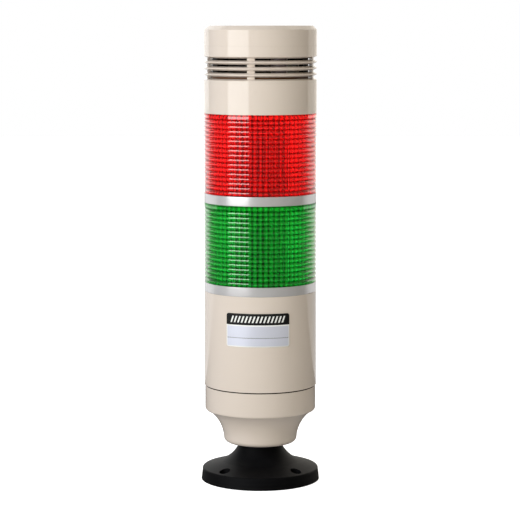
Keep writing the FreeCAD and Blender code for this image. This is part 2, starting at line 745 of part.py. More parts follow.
def light_module(colour, ring_bottom):
    """The lamp inside a lens: a round board, four upright boards in a square, their LEDs and a plug."""
    shelf = f"{ring_bottom} + dims.ring_height - dims.nest_depth"
    hole = "dims.light_board_hole_radius"
    board = disc(f"{colour}_light_board", "levels.light_board_radius", shelf, "dims.board_thickness", hole)
    wires = new_sketch(board, f"{colour}_board_wire_hole", "XY_Plane", shelf)
    circle(wires, "dims.wire_hole_radius", "0", "dims.wire_offset")
    sunk(board, wires, "dims.board_thickness")
    floor = f"{shelf} + dims.board_thickness"
    plug_front = "-levels.plug_offset - dims.plug_width / 2"
    plug_back = "-levels.plug_offset + dims.plug_width / 2"
    half = "dims.plug_length / 2"
    block(f"{colour}_light_plug", f"-{half}", half, plug_front, plug_back, floor, "dims.plug_height")

    half_width = number("dims.column_half_width")
    thickness = number("dims.board_thickness")
    height = number("levels.column_height")
    size = number("dims.led_size")
    led_thickness = number("dims.led_thickness")
    pitch = number("levels.led_pitch")
    rows = int(number("dims.led_rows"))
    base = number(floor)
    axis = (FreeCAD.Vector(0, 0, 0), FreeCAD.Vector(0, 0, 1))
    boards = []
    leds = []
    for side in range(4):
        corner = FreeCAD.Vector(-half_width, -half_width, base)
        upright = Part.makeBox(2 * half_width - thickness, thickness, height, corner)
        boards.append(upright.rotate(*axis, 90 * side))
        for row in range(rows):
            middle = base + height / 2 + (row - (rows - 1) / 2) * pitch
            corner = FreeCAD.Vector(
                -(thickness + size) / 2, -half_width - led_thickness, middle - size / 2
            )
            leds.append(Part.makeBox(size, led_thickness, size, corner).rotate(*axis, 90 * side))
    solids(f"{colour}_light_column", boards)
    solids(f"{colour}_leds", leds)


def buzzer_housing():
    """The louvred housing: flared slots all round, open through the wall between four ribs."""
    body = new_body("buzzer_housing")
    section = new_sketch(body, "buzzer_section", "XZ_Plane")
    points = [
        ("levels.rod_hole_radius", "levels.buzzer_deck_bottom"),
        ("levels.nest_radius", "levels.buzzer_deck_bottom"),
        ("levels.nest_radius", "levels.buzzer_bottom"),
        ("dims.tower_radius", "levels.buzzer_bottom"),
        ("dims.tower_radius", "levels.lid_bottom"),
        ("levels.buzzer_inner_radius", "levels.lid_bottom"),
        ("levels.buzzer_inner_radius", "levels.buzzer_deck_top"),
        ("levels.rod_hole_radius", "levels.buzzer_deck_top"),
    ]
    outline(section, points)
    turned(body, "Revolution", section)

    post = new_sketch(body, "board_post", "XY_Plane", "levels.buzzer_deck_top")
    circle(post, "dims.post_radius", "0", "levels.post_circle_radius")
    pad = raised(body, post, "levels.sounder_board_bottom - levels.buzzer_deck_top")
    round_pattern(body, pad, "dims.post_count")
    bore = new_sketch(body, "post_bore", "XY_Plane", "levels.sounder_board_bottom - dims.post_bore_depth")
    circle(bore, "dims.post_bore_radius", "0", "levels.post_circle_radius")
    round_pattern(body, sunk(body, bore, "dims.post_bore_depth + dims.post_bore_radius"), "dims.post_count")

    flare = new_sketch(body, "slot_flare", "XZ_Plane")
    outside = f"dims.tower_radius + {OVERRUN}"
    points = [
        ("levels.flare_root_radius", "levels.slot_bottom - dims.slot_gap / 2"),
        ("dims.tower_radius", "levels.slot_bottom - dims.slot_mouth / 2"),
        (outside, "levels.slot_bottom - dims.slot_mouth / 2"),
        (outside, "levels.slot_bottom + dims.slot_mouth / 2"),
        ("dims.tower_radius", "levels.slot_bottom + dims.slot_mouth / 2"),
        ("levels.flare_root_radius", "levels.slot_bottom + dims.slot_gap / 2"),
    ]
    outline(flare, points)
    groove = turned(body, "Groove", flare)
    row_pattern(body, groove, "Z_Axis", "dims.slot_count", "dims.slot_pitch")

    first_gap = f"{FRONT_ANGLE} - dims.rib_turn + 180 / dims.rib_count"
    gap = new_sketch(body, "slot_gap", "XZ_Plane", turn=first_gap)
    low = "levels.slot_bottom - dims.slot_gap / 2"
    high = "levels.slot_bottom + dims.slot_gap / 2"
    inside = f"levels.buzzer_inner_radius - {OVERRUN}"
    outline(gap, box_points(inside, "levels.flare_root_radius", low, high))
    opening = turned(body, "Groove", gap, "360 / dims.rib_count - dims.rib_angle")
    louvre = body.newObject("PartDesign::MultiTransform", "louvre")
    louvre.Originals = [opening]
    row = body.newObject("PartDesign::LinearPattern", "louvre_row")
    row.Direction = (origin_part(body, "Z_Axis"), [""])
    row.setExpression("Length", "(dims.slot_count - 1) * dims.slot_pitch")
    row.setExpression("Occurrences", "dims.slot_count")
    around = body.newObject("PartDesign::PolarPattern", "louvre_round")
    around.Axis = (origin_part(body, "Z_Axis"), [""])
    around.Angle = 360
    around.setExpression("Occurrences", "dims.rib_count")
    louvre.Transformations = [row, around]
    body.Tip = louvre
    doc.recompute()

    inside = f"levels.buzzer_inner_radius - {OVERRUN}"
    entry = new_sketch(body, "bayonet_entry", "XZ_Plane", turn="dims.lid_turn")
    above = f"levels.lid_bottom + {OVERRUN}"
    middle = "(levels.track_bottom + levels.track_top) / 2"
    outline(entry, box_points(inside, "levels.track_radius", middle, above))
    width = "dims.lug_angle + 2 * dims.entry_side_angle"
    round_pattern(body, turned(body, "Groove", entry, width), "dims.lug_count")
    run = new_sketch(body, "bayonet_run", "XZ_Plane", turn="dims.lid_turn / 2")
    outline(run, box_points(inside, "levels.track_radius", "levels.track_bottom", "levels.track_top"))
    swing = "dims.lug_angle + dims.lid_turn + 2 * dims.lug_side_angle"
    round_pattern(body, turned(body, "Groove", run, swing), "dims.lug_count")


def sounder():
    """The board in the buzzer housing, its parts, and the curved wall that throws the sound forwards."""
    bottom = "levels.sounder_board_bottom"
    board = disc("sounder_board", "levels.sounder_board_radius", bottom, "dims.board_thickness")
    hole = new_sketch(board, "board_screw_hole", "XY_Plane", bottom)
    circle(hole, "dims.board_screw_hole_radius", "0", "levels.post_circle_radius")
    round_pattern(board, sunk(board, hole, "dims.board_thickness"), "dims.post_count")

    top = number("levels.sounder_board_top")
    axis = (FreeCAD.Vector(0, 0, 0), FreeCAD.Vector(0, 0, 1))
    count = int(number("dims.post_count"))
    place = FreeCAD.Vector(0, number("levels.post_circle_radius"), top)
    screws = []
    for index in range(count):
        head = Part.makeCylinder(
            number("dims.board_screw_head_radius"), number("dims.board_screw_head_height"), place
        )
        grip = number("dims.board_screw_grip")
        shank = Part.makeCylinder(number("dims.board_screw_radius"), grip, place - FreeCAD.Vector(0, 0, grip))
        screws.append(head.fuse(shank).rotate(*axis, index * 360 / count))
    solids("sounder_board_screws", screws)

    body = new_body("piezo_sounder")
    case = new_sketch(body, "sounder_case", "XY_Plane", "levels.sounder_board_top")
    circle(case, "levels.sounder_radius", "-dims.sounder_left", "dims.sounder_back")
    raised(body, case, "dims.sounder_height")
    mouth = new_sketch(
        body,
        "sounder_mouth",
        "XY_Plane",
        "levels.sounder_board_top + dims.sounder_height - dims.sounder_mouth_depth",
    )
    circle(mouth, "dims.sounder_mouth_radius", "-dims.sounder_left", "dims.sounder_back")
    sunk(body, mouth, "2 * dims.sounder_mouth_depth")

    body = new_body("sounder_capacitor")
    can = new_sketch(body, "capacitor_can", "XY_Plane", "levels.sounder_board_top")
    circle(can, "dims.capacitor_radius", "levels.capacitor_right", "-levels.capacitor_front")
    raised(body, can, "dims.capacitor_height")
    neck = new_sketch(
        body, "capacitor_neck", "XY_Plane", "levels.sounder_board_top + dims.capacitor_neck_rise"
    )
    circle(neck, "dims.capacitor_radius", "levels.capacitor_right", "-levels.capacitor_front")
    inner = "dims.capacitor_radius - dims.capacitor_neck_depth"
    circle(neck, inner, "levels.capacitor_right", "-levels.capacitor_front")
    sunk(body, neck, "dims.capacitor_neck_height")

    left = "levels.sounder_plug_right - dims.plug_length / 2"
    right = "levels.sounder_plug_right + dims.plug_length / 2"
    half = "dims.plug_width / 2"
    block("sounder_plug", left, right, f"-{half}", half, "levels.sounder_board_top", "dims.plug_height")

    body = new_body("sound_reflector")
    wall = new_sketch(body, "reflector_section", "XZ_Plane", turn=f"-({FRONT_ANGLE})")
    low = "levels.sounder_board_top"
    high = "levels.sounder_board_top + dims.reflector_height"
    inside = "levels.reflector_radius - dims.reflector_wall"
    outline(wall, box_points(inside, "levels.reflector_radius", low, high))
    turned(body, "Revolution", wall, "dims.reflector_angle")


def control_board():
    """The board that rests on the spigot: wires come up to its terminals, the flasher is on top."""
    disc(
        "control_board",
        "levels.spigot_radius - dims.control_board_margin",
        "levels.spigot_top",
        "dims.board_thickness",
    )
    body = new_body("terminal_block")
    case = new_sketch(body, "terminal_case", "XY_Plane", "levels.spigot_top - dims.terminal_height")
    long_half = "dims.terminal_length / 2"
    short_half = "dims.terminal_width / 2"
    outline(case, box_points(f"-{long_half}", long_half, f"-{short_half}", short_half))
    raised(body, case, "dims.terminal_height")
    first = "-(dims.terminal_count - 1) / 2 * dims.terminal_pitch"
    hole = new_sketch(body, "terminal_hole", "XY_Plane", "levels.spigot_top - dims.terminal_height")
    circle(hole, "dims.terminal_hole_radius", first)
    cut = sunk(body, hole, "dims.terminal_hole_depth")
    row_pattern(body, cut, "X_Axis", "dims.terminal_count", "dims.terminal_pitch")

    screws = []
    height = number("dims.terminal_screw_height")
    roof = number("levels.spigot_top - dims.terminal_height + dims.terminal_hole_depth")
    for index in range(int(number("dims.terminal_count"))):
        place = FreeCAD.Vector(number(first) + index * number("dims.terminal_pitch"), 0, roof - height)
        screws.append(Part.makeCylinder(number("dims.terminal_screw_radius"), height, place))
    solids("terminal_screws", screws)

    left = "-dims.relay_left - dims.relay_length / 2"
    right = "-dims.relay_left + dims.relay_length / 2"
    half = "dims.relay_width / 2"
    block("flasher_relay", left, right, f"-{half}", half, "levels.control_board_top", "dims.relay_height")
    body = new_body("filter_capacitor")
    can = new_sketch(body, "filter_can", "XY_Plane", "levels.control_board_top")
    circle(can, "dims.filter_capacitor_radius", "dims.filter_capacitor_right")
    raised(body, can, "dims.filter_capacitor_height")


def tie_rod():
    """The threaded rod that clamps the modules between the body's deck and the buzzer's deck."""
    disc("tie_rod", "dims.rod_radius", "levels.rod_bottom", "levels.rod_top - levels.rod_bottom")
    washer = ("dims.rod_washer_thickness", "levels.rod_hole_radius")
    disc("rod_top_washer", "dims.rod_washer_radius", "levels.buzzer_deck_top", *washer)
    disc("rod_bottom_washer", "dims.rod_washer_radius", "levels.rod_bottom_washer", *washer)
    nut = ("dims.rod_nut_flats", "dims.rod_radius")
    hex_nut("rod_top_nut", *nut, "levels.rod_top_nut", "dims.rod_nut_height")
    hex_nut("rod_bottom_nut", *nut, "levels.rod_bottom_nut", "dims.rod_nut_height")


def top_lid():
    """The chamfered cap: its skirt has three lugs that turn under the ledges of the buzzer housing."""
    body = new_body("top_lid")
    section = new_sketch(body, "lid_section", "XZ_Plane")
    points = [
        ("0", "levels.lid_top_height - dims.lid_top"),
        ("levels.skirt_inner_radius", "levels.lid_top_height - dims.lid_top"),
        ("levels.skirt_inner_radius", "levels.skirt_bottom"),
        ("levels.skirt_radius", "levels.skirt_bottom"),
        ("levels.skirt_radius", "levels.lid_bottom"),
        ("levels.lid_seal_radius", "levels.lid_bottom"),
        ("levels.lid_seal_radius", "levels.lid_bottom + dims.lid_seal_height"),
        ("levels.lid_seal_radius + dims.lid_seal_width", "levels.lid_bottom + dims.lid_seal_height"),
        ("levels.lid_seal_radius + dims.lid_seal_width", "levels.lid_bottom"),
        ("dims.tower_radius", "levels.lid_bottom"),
        ("dims.tower_radius", "levels.lid_top_height - dims.lid_chamfer_height"),
        ("dims.tower_radius - dims.lid_chamfer_width", "levels.lid_top_height"),
        ("0", "levels.lid_top_height"),
    ]
    outline(section, points)
    turned(body, "Revolution", section)
    lug = new_sketch(body, "bayonet_lug", "XZ_Plane")
    low = "levels.skirt_bottom"
    high = "levels.skirt_bottom + dims.lug_height"
    outline(lug, box_points("levels.skirt_inner_radius", "levels.lug_radius", low, high))
    round_pattern(body, turned(body, "Revolution", lug, "dims.lug_angle"), "dims.lug_count")
    outer = "levels.lid_seal_radius + dims.lid_seal_width - dims.lid_seal_play"
    bottom = "levels.lid_bottom + dims.lid_seal_play"
    thickness = "dims.lid_seal_height - dims.lid_seal_play"
    disc("lid_seal", outer, bottom, thickness, "levels.lid_seal_radius + dims.lid_seal_play")


base_flange()
hollow_bolt()
disc(
    "hollow_bolt_washer",
    "dims.bolt_washer_radius",
    "levels.cover_floor_top",
    "dims.bolt_washer_thickness",
    "levels.bolt_hole_radius",
)
hex_nut(
    "hollow_bolt_nut", "dims.bolt_nut_flats", "dims.bolt_radius", "levels.bolt_nut_bottom", "dims.bolt_nut_height"
)
disc(
    "neck_seal",
    "dims.neck_radius - dims.seal_margin",
    "dims.base_height",
    "dims.seal_thickness",
    "dims.bolt_radius + dims.seal_margin",
)
bottom_cover()
body_housing()
nameplate()
control_board()
silver_ring("lower_silver_ring", "levels.body_top")
light_module("green", "levels.body_top")
lens("green_lens", "levels.green_bottom")
silver_ring("middle_silver_ring", "levels.middle_ring_bottom")
light_module("red", "levels.middle_ring_bottom")
lens("red_lens", "levels.red_bottom")
buzzer_housing()
sounder()
tie_rod()
top_lid()
doc.recompute()

for feature in doc.Objects:
    if {"Invalid", "Error"} & set(feature.State):
        raise RuntimeError(f"{feature.Name} failed: {feature.State}")
for part in sub_parts:
    if part.Shape.isNull() or not part.Shape.isValid():
        raise RuntimeError(f"{part.Label} has no valid shape")

os.makedirs("parts", exist_ok=True)
for part in sub_parts:
    part.Shape.exportStep(f"parts/{part.Label}.step")
    print(f"{part.Label}: {len(part.Shape.Solids)} solids, {part.Shape.Volume:.1f} cubic mm")
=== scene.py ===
# %% [markdown]
# # A stack light
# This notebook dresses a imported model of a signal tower: a black bell base, ivory housings, two ribbed lenses
# on silver rings, and a buzzer housing with a lid. The pieces come in at their real size and place, as a
# fixed frame. Each step below looks at one piece or one finish of the real object and builds it.

# %% Load the frame
import math

import bmesh
import bpy
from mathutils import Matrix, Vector


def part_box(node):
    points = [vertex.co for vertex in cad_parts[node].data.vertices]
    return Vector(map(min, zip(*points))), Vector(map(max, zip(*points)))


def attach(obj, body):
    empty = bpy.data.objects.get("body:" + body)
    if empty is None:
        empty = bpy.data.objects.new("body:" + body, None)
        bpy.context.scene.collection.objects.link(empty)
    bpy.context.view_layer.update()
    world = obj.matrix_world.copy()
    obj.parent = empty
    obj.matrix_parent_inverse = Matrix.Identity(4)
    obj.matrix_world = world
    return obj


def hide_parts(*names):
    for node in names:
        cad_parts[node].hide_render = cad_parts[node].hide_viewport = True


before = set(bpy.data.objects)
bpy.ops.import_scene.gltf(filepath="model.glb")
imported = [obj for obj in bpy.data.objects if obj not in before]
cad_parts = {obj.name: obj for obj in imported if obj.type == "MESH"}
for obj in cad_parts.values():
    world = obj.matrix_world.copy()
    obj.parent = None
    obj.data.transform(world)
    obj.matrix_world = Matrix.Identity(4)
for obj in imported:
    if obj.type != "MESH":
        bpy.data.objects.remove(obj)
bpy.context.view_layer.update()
MM = 0.001
print("pieces in the frame:", len(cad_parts))

# %% [markdown]
# ## The camera
# The photograph was taken from almost a metre away, with the lens as high as the top of the tower: the top
# is seen edge-on, and the base is seen from above. A tilted camera at that place keeps the tower in the
# middle of the frame from every side, so it needs no shift.

# %% Place the camera
CAMERA_PLACE = Vector((-0.00015, -0.970, 0.2285))
CAMERA_PITCH = math.radians(6.893)
CAMERA_LENS = 134.87
camera_data = bpy.data.cameras.new("portrait_camera")
camera_data.sensor_width = 36.0
camera_data.lens = CAMERA_LENS
camera_data.clip_start = 0.01
camera = bpy.data.objects.new("portrait_camera", camera_data)
camera.location = CAMERA_PLACE
camera.rotation_euler = (math.pi / 2 - CAMERA_PITCH, 0, 0)
bpy.context.scene.collection.objects.link(camera)
bpy.context.scene.camera = camera
bpy.context.scene.view_settings.view_transform = "Standard"
print("camera distance in mm:", round(CAMERA_PLACE.length / MM))

# %% [markdown]
# ## Shader maths as Python
# A procedural finish is arithmetic on sockets. Written with nodes, `1 - mask * 0.5` is two boxes and three
# wires. The class below wraps a socket, so that the same line in Python adds those nodes. It serves shader
# trees and geometry trees alike, because both use the same Math node.


# %% A socket that can be calculated with
class Wire:
    """An output socket. Arithmetic on it adds Math nodes to its tree."""

    def __init__(self, tree, socket):
        self.tree = tree
        self.socket = socket

    def math(self, operation, *others):
        return self.tree.add("ShaderNodeMath", {"operation": operation}, dict(enumerate((self, *others))))

    def __add__(self, other):
        return self.math("ADD", other)

    def __sub__(self, other):
        return self.math("SUBTRACT", other)

    def __mul__(self, other):
        return self.math("MULTIPLY", other)

    def __truediv__(self, other):
        return self.math("DIVIDE", other)

    def __rsub__(self, other):
        return self.tree.add("ShaderNodeMath", {"operation": "SUBTRACT"}, {0: other, 1: self})

    __radd__ = __add__
    __rmul__ = __mul__

    def above(self, edge):
        return self.math("GREATER_THAN", edge)

    def below(self, edge):
        return self.math("LESS_THAN", edge)

    def between(self, low, high):
        return self.above(low) * self.below(high)


# %% A tree that nodes are added to
class Tree:
    """A node tree. `add` makes a node from its type, its settings and its sockets' values or wires."""

    def __init__(self, tree):
        self.tree = tree

    def add(self, kind, settings=None, sockets=None, output=0):
        node = self.tree.nodes.new(kind)
        for name, value in (settings or {}).items():
            setattr(node, name, value)
        for name, value in (sockets or {}).items():
            if isinstance(value, Wire):
                self.tree.links.new(value.socket, node.inputs[name])
            else:
                node.inputs[name].default_value = value
        return Wire(self, node.outputs[output])

    def ramp(self, factor, *stops):
        """A ramp between two (position, grey) stops."""
        wire = self.add("ShaderNodeValToRGB", None, {"Fac": factor})
        for element, (position, grey) in zip(wire.socket.node.color_ramp.elements, stops):
            element.position = position
            element.color = (grey, grey, grey, 1.0)
        return wire

    def blend(self, factor, first, second):
        """Mix two colours, each a wire or three plain numbers. The node's colour sockets are 6, 7 and 2."""
        sockets = {0: factor}
        for number, colour in ((6, first), (7, second)):
            sockets[number] = colour if isinstance(colour, Wire) else (*colour, 1.0)
        return self.add("ShaderNodeMix", {"data_type": "RGBA"}, sockets, 2)

    def place(self):
        """Where a point is on the piece, in metres."""
        return self.add("ShaderNodeTexCoord", output="Object")

    def axis(self, letter):
        """One coordinate of a point on the piece."""
        return self.add("ShaderNodeSeparateXYZ", None, {0: self.place()}, letter)

    def noise(self, scale, detail=3.0, roughness=0.5, stretch=(1, 1, 1)):
        """Noise on the piece; scale is in waves a metre."""
        spread = self.add("ShaderNodeMapping", None, {"Vector": self.place(), "Scale": stretch})
        sockets = {"Vector": spread, "Scale": scale, "Detail": detail, "Roughness": roughness}
        return self.add("ShaderNodeTexNoise", None, sockets)

    def bump(self, height, strength, distance):
        """Turn a height into a normal; distance is in metres."""
        sockets = {"Height": height, "Strength": strength, "Distance": distance}
        return self.add("ShaderNodeBump", None, sockets)

    def end(self, kind, shader):
        """Wire a shader to the output node of this kind."""
        output = self.tree.nodes.new(kind)
        self.tree.links.new(shader.socket, output.inputs["Surface"])


# %% A finish from wires and plain values
def fresh_tree(owner):
    """The node tree of a material or a world, emptied."""
    owner.use_nodes = True
    owner.node_tree.nodes.clear()
    return Tree(owner.node_tree)


def finish(name, varying, constant):
    """A material from one Principled shader: `varying(tree)` gives the wires, `constant` the plain values."""
    material = bpy.data.materials.new(name)
    tree = fresh_tree(material)
    shader = tree.add("ShaderNodeBsdfPrincipled", None, {**constant, **varying(tree)})
    tree.end("ShaderNodeOutputMaterial", shader)
    material["slot"] = name
    print("finish:", name)
    return material


# %% [markdown]
# ## Light
# The tower stands in a pale studio, lit from the left. The large softbox there shows as an upright stripe on
# the glossy lid and as one crisp dash on every ridge of the lenses. Two more lamps only lift the shade: a
# cool one from above and a warm one from the front. A glossy piece would mirror them as well and show three
# stripes, so both are kept out of reflections.


# %% Hang the lamps
def softbox(name, place, target, size, power, colour):
    """A rectangular lamp that faces a point and stays out of the picture."""
    lamp = bpy.data.lights.new(name, "AREA")
    lamp.shape = "RECTANGLE"
    lamp.size, lamp.size_y = size
    lamp.energy = power
    lamp.color = colour
    holder = bpy.data.objects.new(name, lamp)
    holder.location = place
    holder.rotation_euler = (Vector(target) - Vector(place)).to_track_quat("-Z", "Y").to_euler()
    holder.visible_camera = False
    bpy.context.scene.collection.objects.link(holder)
    return holder


PLAIN_LIGHT = (0.975, 0.985, 0.985)
COOL_LIGHT = (0.64, 0.77, 1.0)
WARM_LIGHT = (1.0, 0.95, 0.76)
softbox("left_softbox", (-0.863, -0.834, 0.51), (0, 0, 0.51), (0.994, 0.92), 9.30, PLAIN_LIGHT)
upper = softbox("upper_left_softbox", (-0.76, -0.73, 1.20), (0, 0, 0.12), (1.10, 0.40), 5.5, COOL_LIGHT)
fill = softbox("front_softbox", (-0.096, -1.096, 0.75), (0, 0, 0.75), (0.80, 0.70), 6.1, WARM_LIGHT)
for lamp_holder in (upper, fill):
    lamp_holder.visible_glossy = False

# %% [markdown]
# The walls of the room could be modelled, but a world that is painted by direction does the same with no
# mesh. The front half is dim, which leaves the housings their brown shade at the right. The pale back
# returns as a light line along both edges. The camera sees plain white, and so does light that goes through
# the lenses, which makes them glow. Directions are in degrees: 0 is the camera's side, and right is positive.

# %% Paint the room
WALL_GLOW = 1.5
LENS_GLOW = 1.7
BACK_RIGHT_FROM = 115.0
BACK_LEFT_FROM = -130.0
FRONT_LEFT = (0.10, 0.10, 0.10)
FRONT_RIGHT = (0.09, 0.08, 0.065)
BACK_RIGHT = (0.80, 0.75, 0.67)
BACK_LEFT = (0.95, 0.95, 0.93)
world = bpy.data.worlds.new("studio")
room = fresh_tree(world)
direction = room.add("ShaderNodeTexCoord", output="Generated")
across = room.add("ShaderNodeSeparateXYZ", None, {0: direction}, "X")
depth = room.add("ShaderNodeSeparateXYZ", None, {0: direction}, "Y")
azimuth = across.math("ARCTAN2", 0 - depth) * (180 / math.pi)
front = room.blend(azimuth.above(0.0), FRONT_LEFT, FRONT_RIGHT)
level = room.blend(azimuth.above(BACK_RIGHT_FROM), front, BACK_RIGHT)
level = room.blend(azimuth.below(BACK_LEFT_FROM), level, BACK_LEFT)
seen = room.add("ShaderNodeLightPath", output="Is Camera Ray")
through = room.add("ShaderNodeLightPath", output="Is Transmission Ray")
lit = room.blend((seen + through).math("MINIMUM", 1.0), level, (1.0, 1.0, 1.0))
power = WALL_GLOW - seen * (WALL_GLOW - 1.0) + through * LENS_GLOW
room.end("ShaderNodeOutputWorld", room.add("ShaderNodeBackground", None, {"Color": lit, "Strength": power}))
bpy.context.scene.world = world
print("room painted, nodes:", len(world.node_tree.nodes))

# %% [markdown]
# ## The floor
# The tower stands on a plain white sheet. Lit paper alone would come out grey, so the sheet also glows a
# little for the camera, which takes it to the white of the background. It glows for light that goes through
# the lenses too. Reflections see that glow only behind the tower, because in the photograph the housings
# mirror a dim floor in front.

# %% Lay the floor
FLOOR_HALF = 3.0
PAPER = (0.80, 0.80, 0.80)
PAPER_MIRRORED = (0.15, 0.15, 0.15)
CAMERA_GLOW = 0.80
MIRROR_GLOW = 0.7
SHEET_LENS_GLOW = 1.5
MIRROR_GLOW_FROM = 0.25
FLOOR_DROP = 0.02 * MM
floor_mesh = bpy.data.meshes.new("floor")
corners = [(x * FLOOR_HALF, y * FLOOR_HALF, 0) for x, y in ((-1, -1), (1, -1), (1, 1), (-1, 1))]
floor_mesh.from_pydata(corners, [], [(0, 1, 2, 3)])
floor = bpy.data.objects.new("floor", floor_mesh)
floor.location.z = -FLOOR_DROP
bpy.context.scene.collection.objects.link(floor)
paper = bpy.data.materials.new("white_paper")
sheet = fresh_tree(paper)
seen = sheet.add("ShaderNodeLightPath", output="Is Camera Ray")
mirrored = sheet.add("ShaderNodeLightPath", output="Is Glossy Ray")
through = sheet.add("ShaderNodeLightPath", output="Is Transmission Ray")
matte = sheet.add("ShaderNodeBsdfDiffuse", None, {"Color": sheet.blend(mirrored, PAPER, PAPER_MIRRORED)})
behind = sheet.axis("Y").above(MIRROR_GLOW_FROM)
glow_strength = seen * CAMERA_GLOW + mirrored * behind * MIRROR_GLOW + through * SHEET_LENS_GLOW
glow = sheet.add("ShaderNodeEmission", None, {"Color": (1, 1, 1, 1), "Strength": glow_strength})
sheet.end("ShaderNodeOutputMaterial", sheet.add("ShaderNodeAddShader", None, {0: matte, 1: glow}))
floor_mesh.materials.append(paper)
print("floor laid, metres across:", 2 * FLOOR_HALF)

# %% [markdown]
# ## Finishes of the housings
# The ivory housings are moulded in glossy ABS. Such a surface is never perfectly flat: it has a faint
# orange-peel, which breaks the edge of a reflection a little, and its colour drifts by a hair over a piece.
# The joint between the cover and the body housing is a dark line. A gap that narrow hardly shades itself, so
# the faces inside it carry painted shade.

# %% Ivory plastic
IVORY = (0.655, 0.574, 0.510)
IVORY_SHADE = (0.635, 0.556, 0.491)
# painted shade: the dark colour painted on the faces inside the seam, in place of the gap's shadow
SEAM_PAINTED_SHADE = (0.045, 0.030, 0.020)
SEAM_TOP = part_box("body_housing")[0].z
SEAM_DEPTH = 1.2 * MM
SEAM_OVERLAP = 0.2 * MM
SEAM_RADIUS = 27.6 * MM


def ivory_wires(tree):
    drift = tree.noise(45.0, 2.0)
    peel = tree.noise(900.0, 2.0)
    fine = tree.noise(5200.0, 2.0)
    height = tree.axis("Z")
    radius = (tree.axis("X") * tree.axis("X") + tree.axis("Y") * tree.axis("Y")).math("SQRT")
    # the faces inside the seam get painted shade
    in_seam = height.above(SEAM_TOP - SEAM_DEPTH) * height.below(SEAM_TOP + SEAM_OVERLAP)
    in_seam = in_seam * radius.below(SEAM_RADIUS)
    plain = tree.blend(drift, IVORY, IVORY_SHADE)
    return {
        "Base Color": tree.blend(in_seam, plain, SEAM_PAINTED_SHADE),
        "Roughness": fine * 0.04 + 0.05,
        "Normal": tree.bump(peel, 0.06, 0.00003),
    }


ivory = finish("ivory_plastic", ivory_wires, {"IOR": 1.53, "Specular IOR Level": 0.5})

# %% [markdown]
# The base is moulded in black nylon with a fine spark-eroded grain, so its reflections are broad and grey.
# One fine noise gives both the grain and the change in gloss.

# %% Black base plastic
BASE_BLACK = (0.0016, 0.0016, 0.0022)
BASE_WORN = (0.0030, 0.0030, 0.0038)


def base_wires(tree):
    grain = tree.noise(2600.0, 3.0, 0.6)
    drift = tree.noise(60.0, 2.0)
    return {
        "Base Color": tree.blend(drift, BASE_BLACK, BASE_WORN),
        "Roughness": grain * 0.14 + 0.50,
        "Normal": tree.bump(grain, 0.25, 0.00006),
    }


base_black = finish("base_plastic", base_wires, {"IOR": 1.53, "Specular IOR Level": 0.12})

# %% [markdown]
# The rings are sprayed silver: tiny aluminium flakes in a clear binder. Flakes catch the light one by one,
# which a very fine noise in the colour and the bump stands for.

# %% Silver paint
SILVER = (0.70, 0.69, 0.70)
SILVER_FLAKE = (0.80, 0.79, 0.80)


def silver_wires(tree):
    flake = tree.noise(9000.0, 1.0)
    drift = tree.noise(120.0, 2.0)
    return {
        "Base Color": tree.blend(flake, SILVER, SILVER_FLAKE),
        "Roughness": drift * 0.02 + 0.24,
        "Normal": tree.bump(flake, 0.04, 0.00001),
    }


silver = finish("silver_paint", silver_wires, {"Metallic": 0.55, "IOR": 1.5})

# %% [markdown]
# ## Finishes inside the tower
# Seals, fasteners, boards and parts are seen through the louvre and, dimly, through the lenses. A moulded
# part differs from the next one in its two shades, its gloss and the size of its grain, so one function
# makes all of their finishes.

# %% Moulded and pressed parts
def plain_wires(first, second, scale, roughness, grain_depth=0.00004):
    """A moulded or painted surface: two close shades, a little variation of gloss and a fine grain."""

    def wires(tree):
        mottle = tree.noise(scale, 3.0)
        return {
            "Base Color": tree.blend(mottle, first, second),
            "Roughness": mottle * 0.12 + roughness,
            "Normal": tree.bump(mottle, 0.3, grain_depth),
        }

    return wires


rubber = finish("seal_rubber", plain_wires((0.018, 0.018, 0.018), (0.030, 0.030, 0.030), 1500.0, 0.62), {})
dark_plastic = finish(
    "black_plastic", plain_wires((0.007, 0.005, 0.005), (0.013, 0.010, 0.010), 1200.0, 0.55), {}
)
terminal_green = finish(
    "terminal_plastic", plain_wires((0.012, 0.090, 0.040), (0.018, 0.120, 0.055), 900.0, 0.42), {}
)
led_white = finish("led_body", plain_wires((0.78, 0.77, 0.72), (0.70, 0.69, 0.64), 800.0, 0.35), {})
phosphor = finish("led_window", plain_wires((0.80, 0.66, 0.20), (0.72, 0.56, 0.14), 1500.0, 0.18), {})
phenolic = finish("phenolic_board", plain_wires((0.20, 0.085, 0.035), (0.26, 0.12, 0.05), 500.0, 0.45), {})

# %% [markdown]
# A circuit board is green solder mask over copper tracks, with round tinned pads. Tracks in the mesh would
# cost thousands of faces. A brick pattern, turned so that every side of a board shows lines, draws them, and
# the middles of a cell pattern are the pads.

# %% Circuit boards
TRACK_TURN = (0.6, 0.6, 0.785)
TRACK_SCALE = 140.0
PAD_SCALE = 230.0


def board_wires(tree):
    """Green solder mask over copper tracks, with round tinned pads."""
    mottle = tree.noise(420.0, 3.0)
    turned = tree.add("ShaderNodeMapping", None, {"Vector": tree.place(), "Rotation": TRACK_TURN})
    brick_sockets = {"Vector": turned, "Scale": TRACK_SCALE, "Mortar Size": 0.022}
    tracks = tree.add("ShaderNodeTexBrick", None, brick_sockets, 1)
    pads = tree.add("ShaderNodeTexVoronoi", None, {"Vector": tree.place(), "Scale": PAD_SCALE}).below(0.17)
    mask = tree.blend(mottle, (0.010, 0.085, 0.030), (0.020, 0.130, 0.050))
    mask = tree.blend(tracks, mask, (0.035, 0.220, 0.085))
    return {
        "Base Color": tree.blend(pads, mask, (0.62, 0.61, 0.58)),
        "Metallic": pads * 0.9,
        "Roughness": mottle * 0.10 + 0.28,
        "Normal": tree.bump(tracks + pads, 0.3, 0.00003),
    }


solder_mask = finish("circuit_board", board_wires, {"IOR": 1.5})
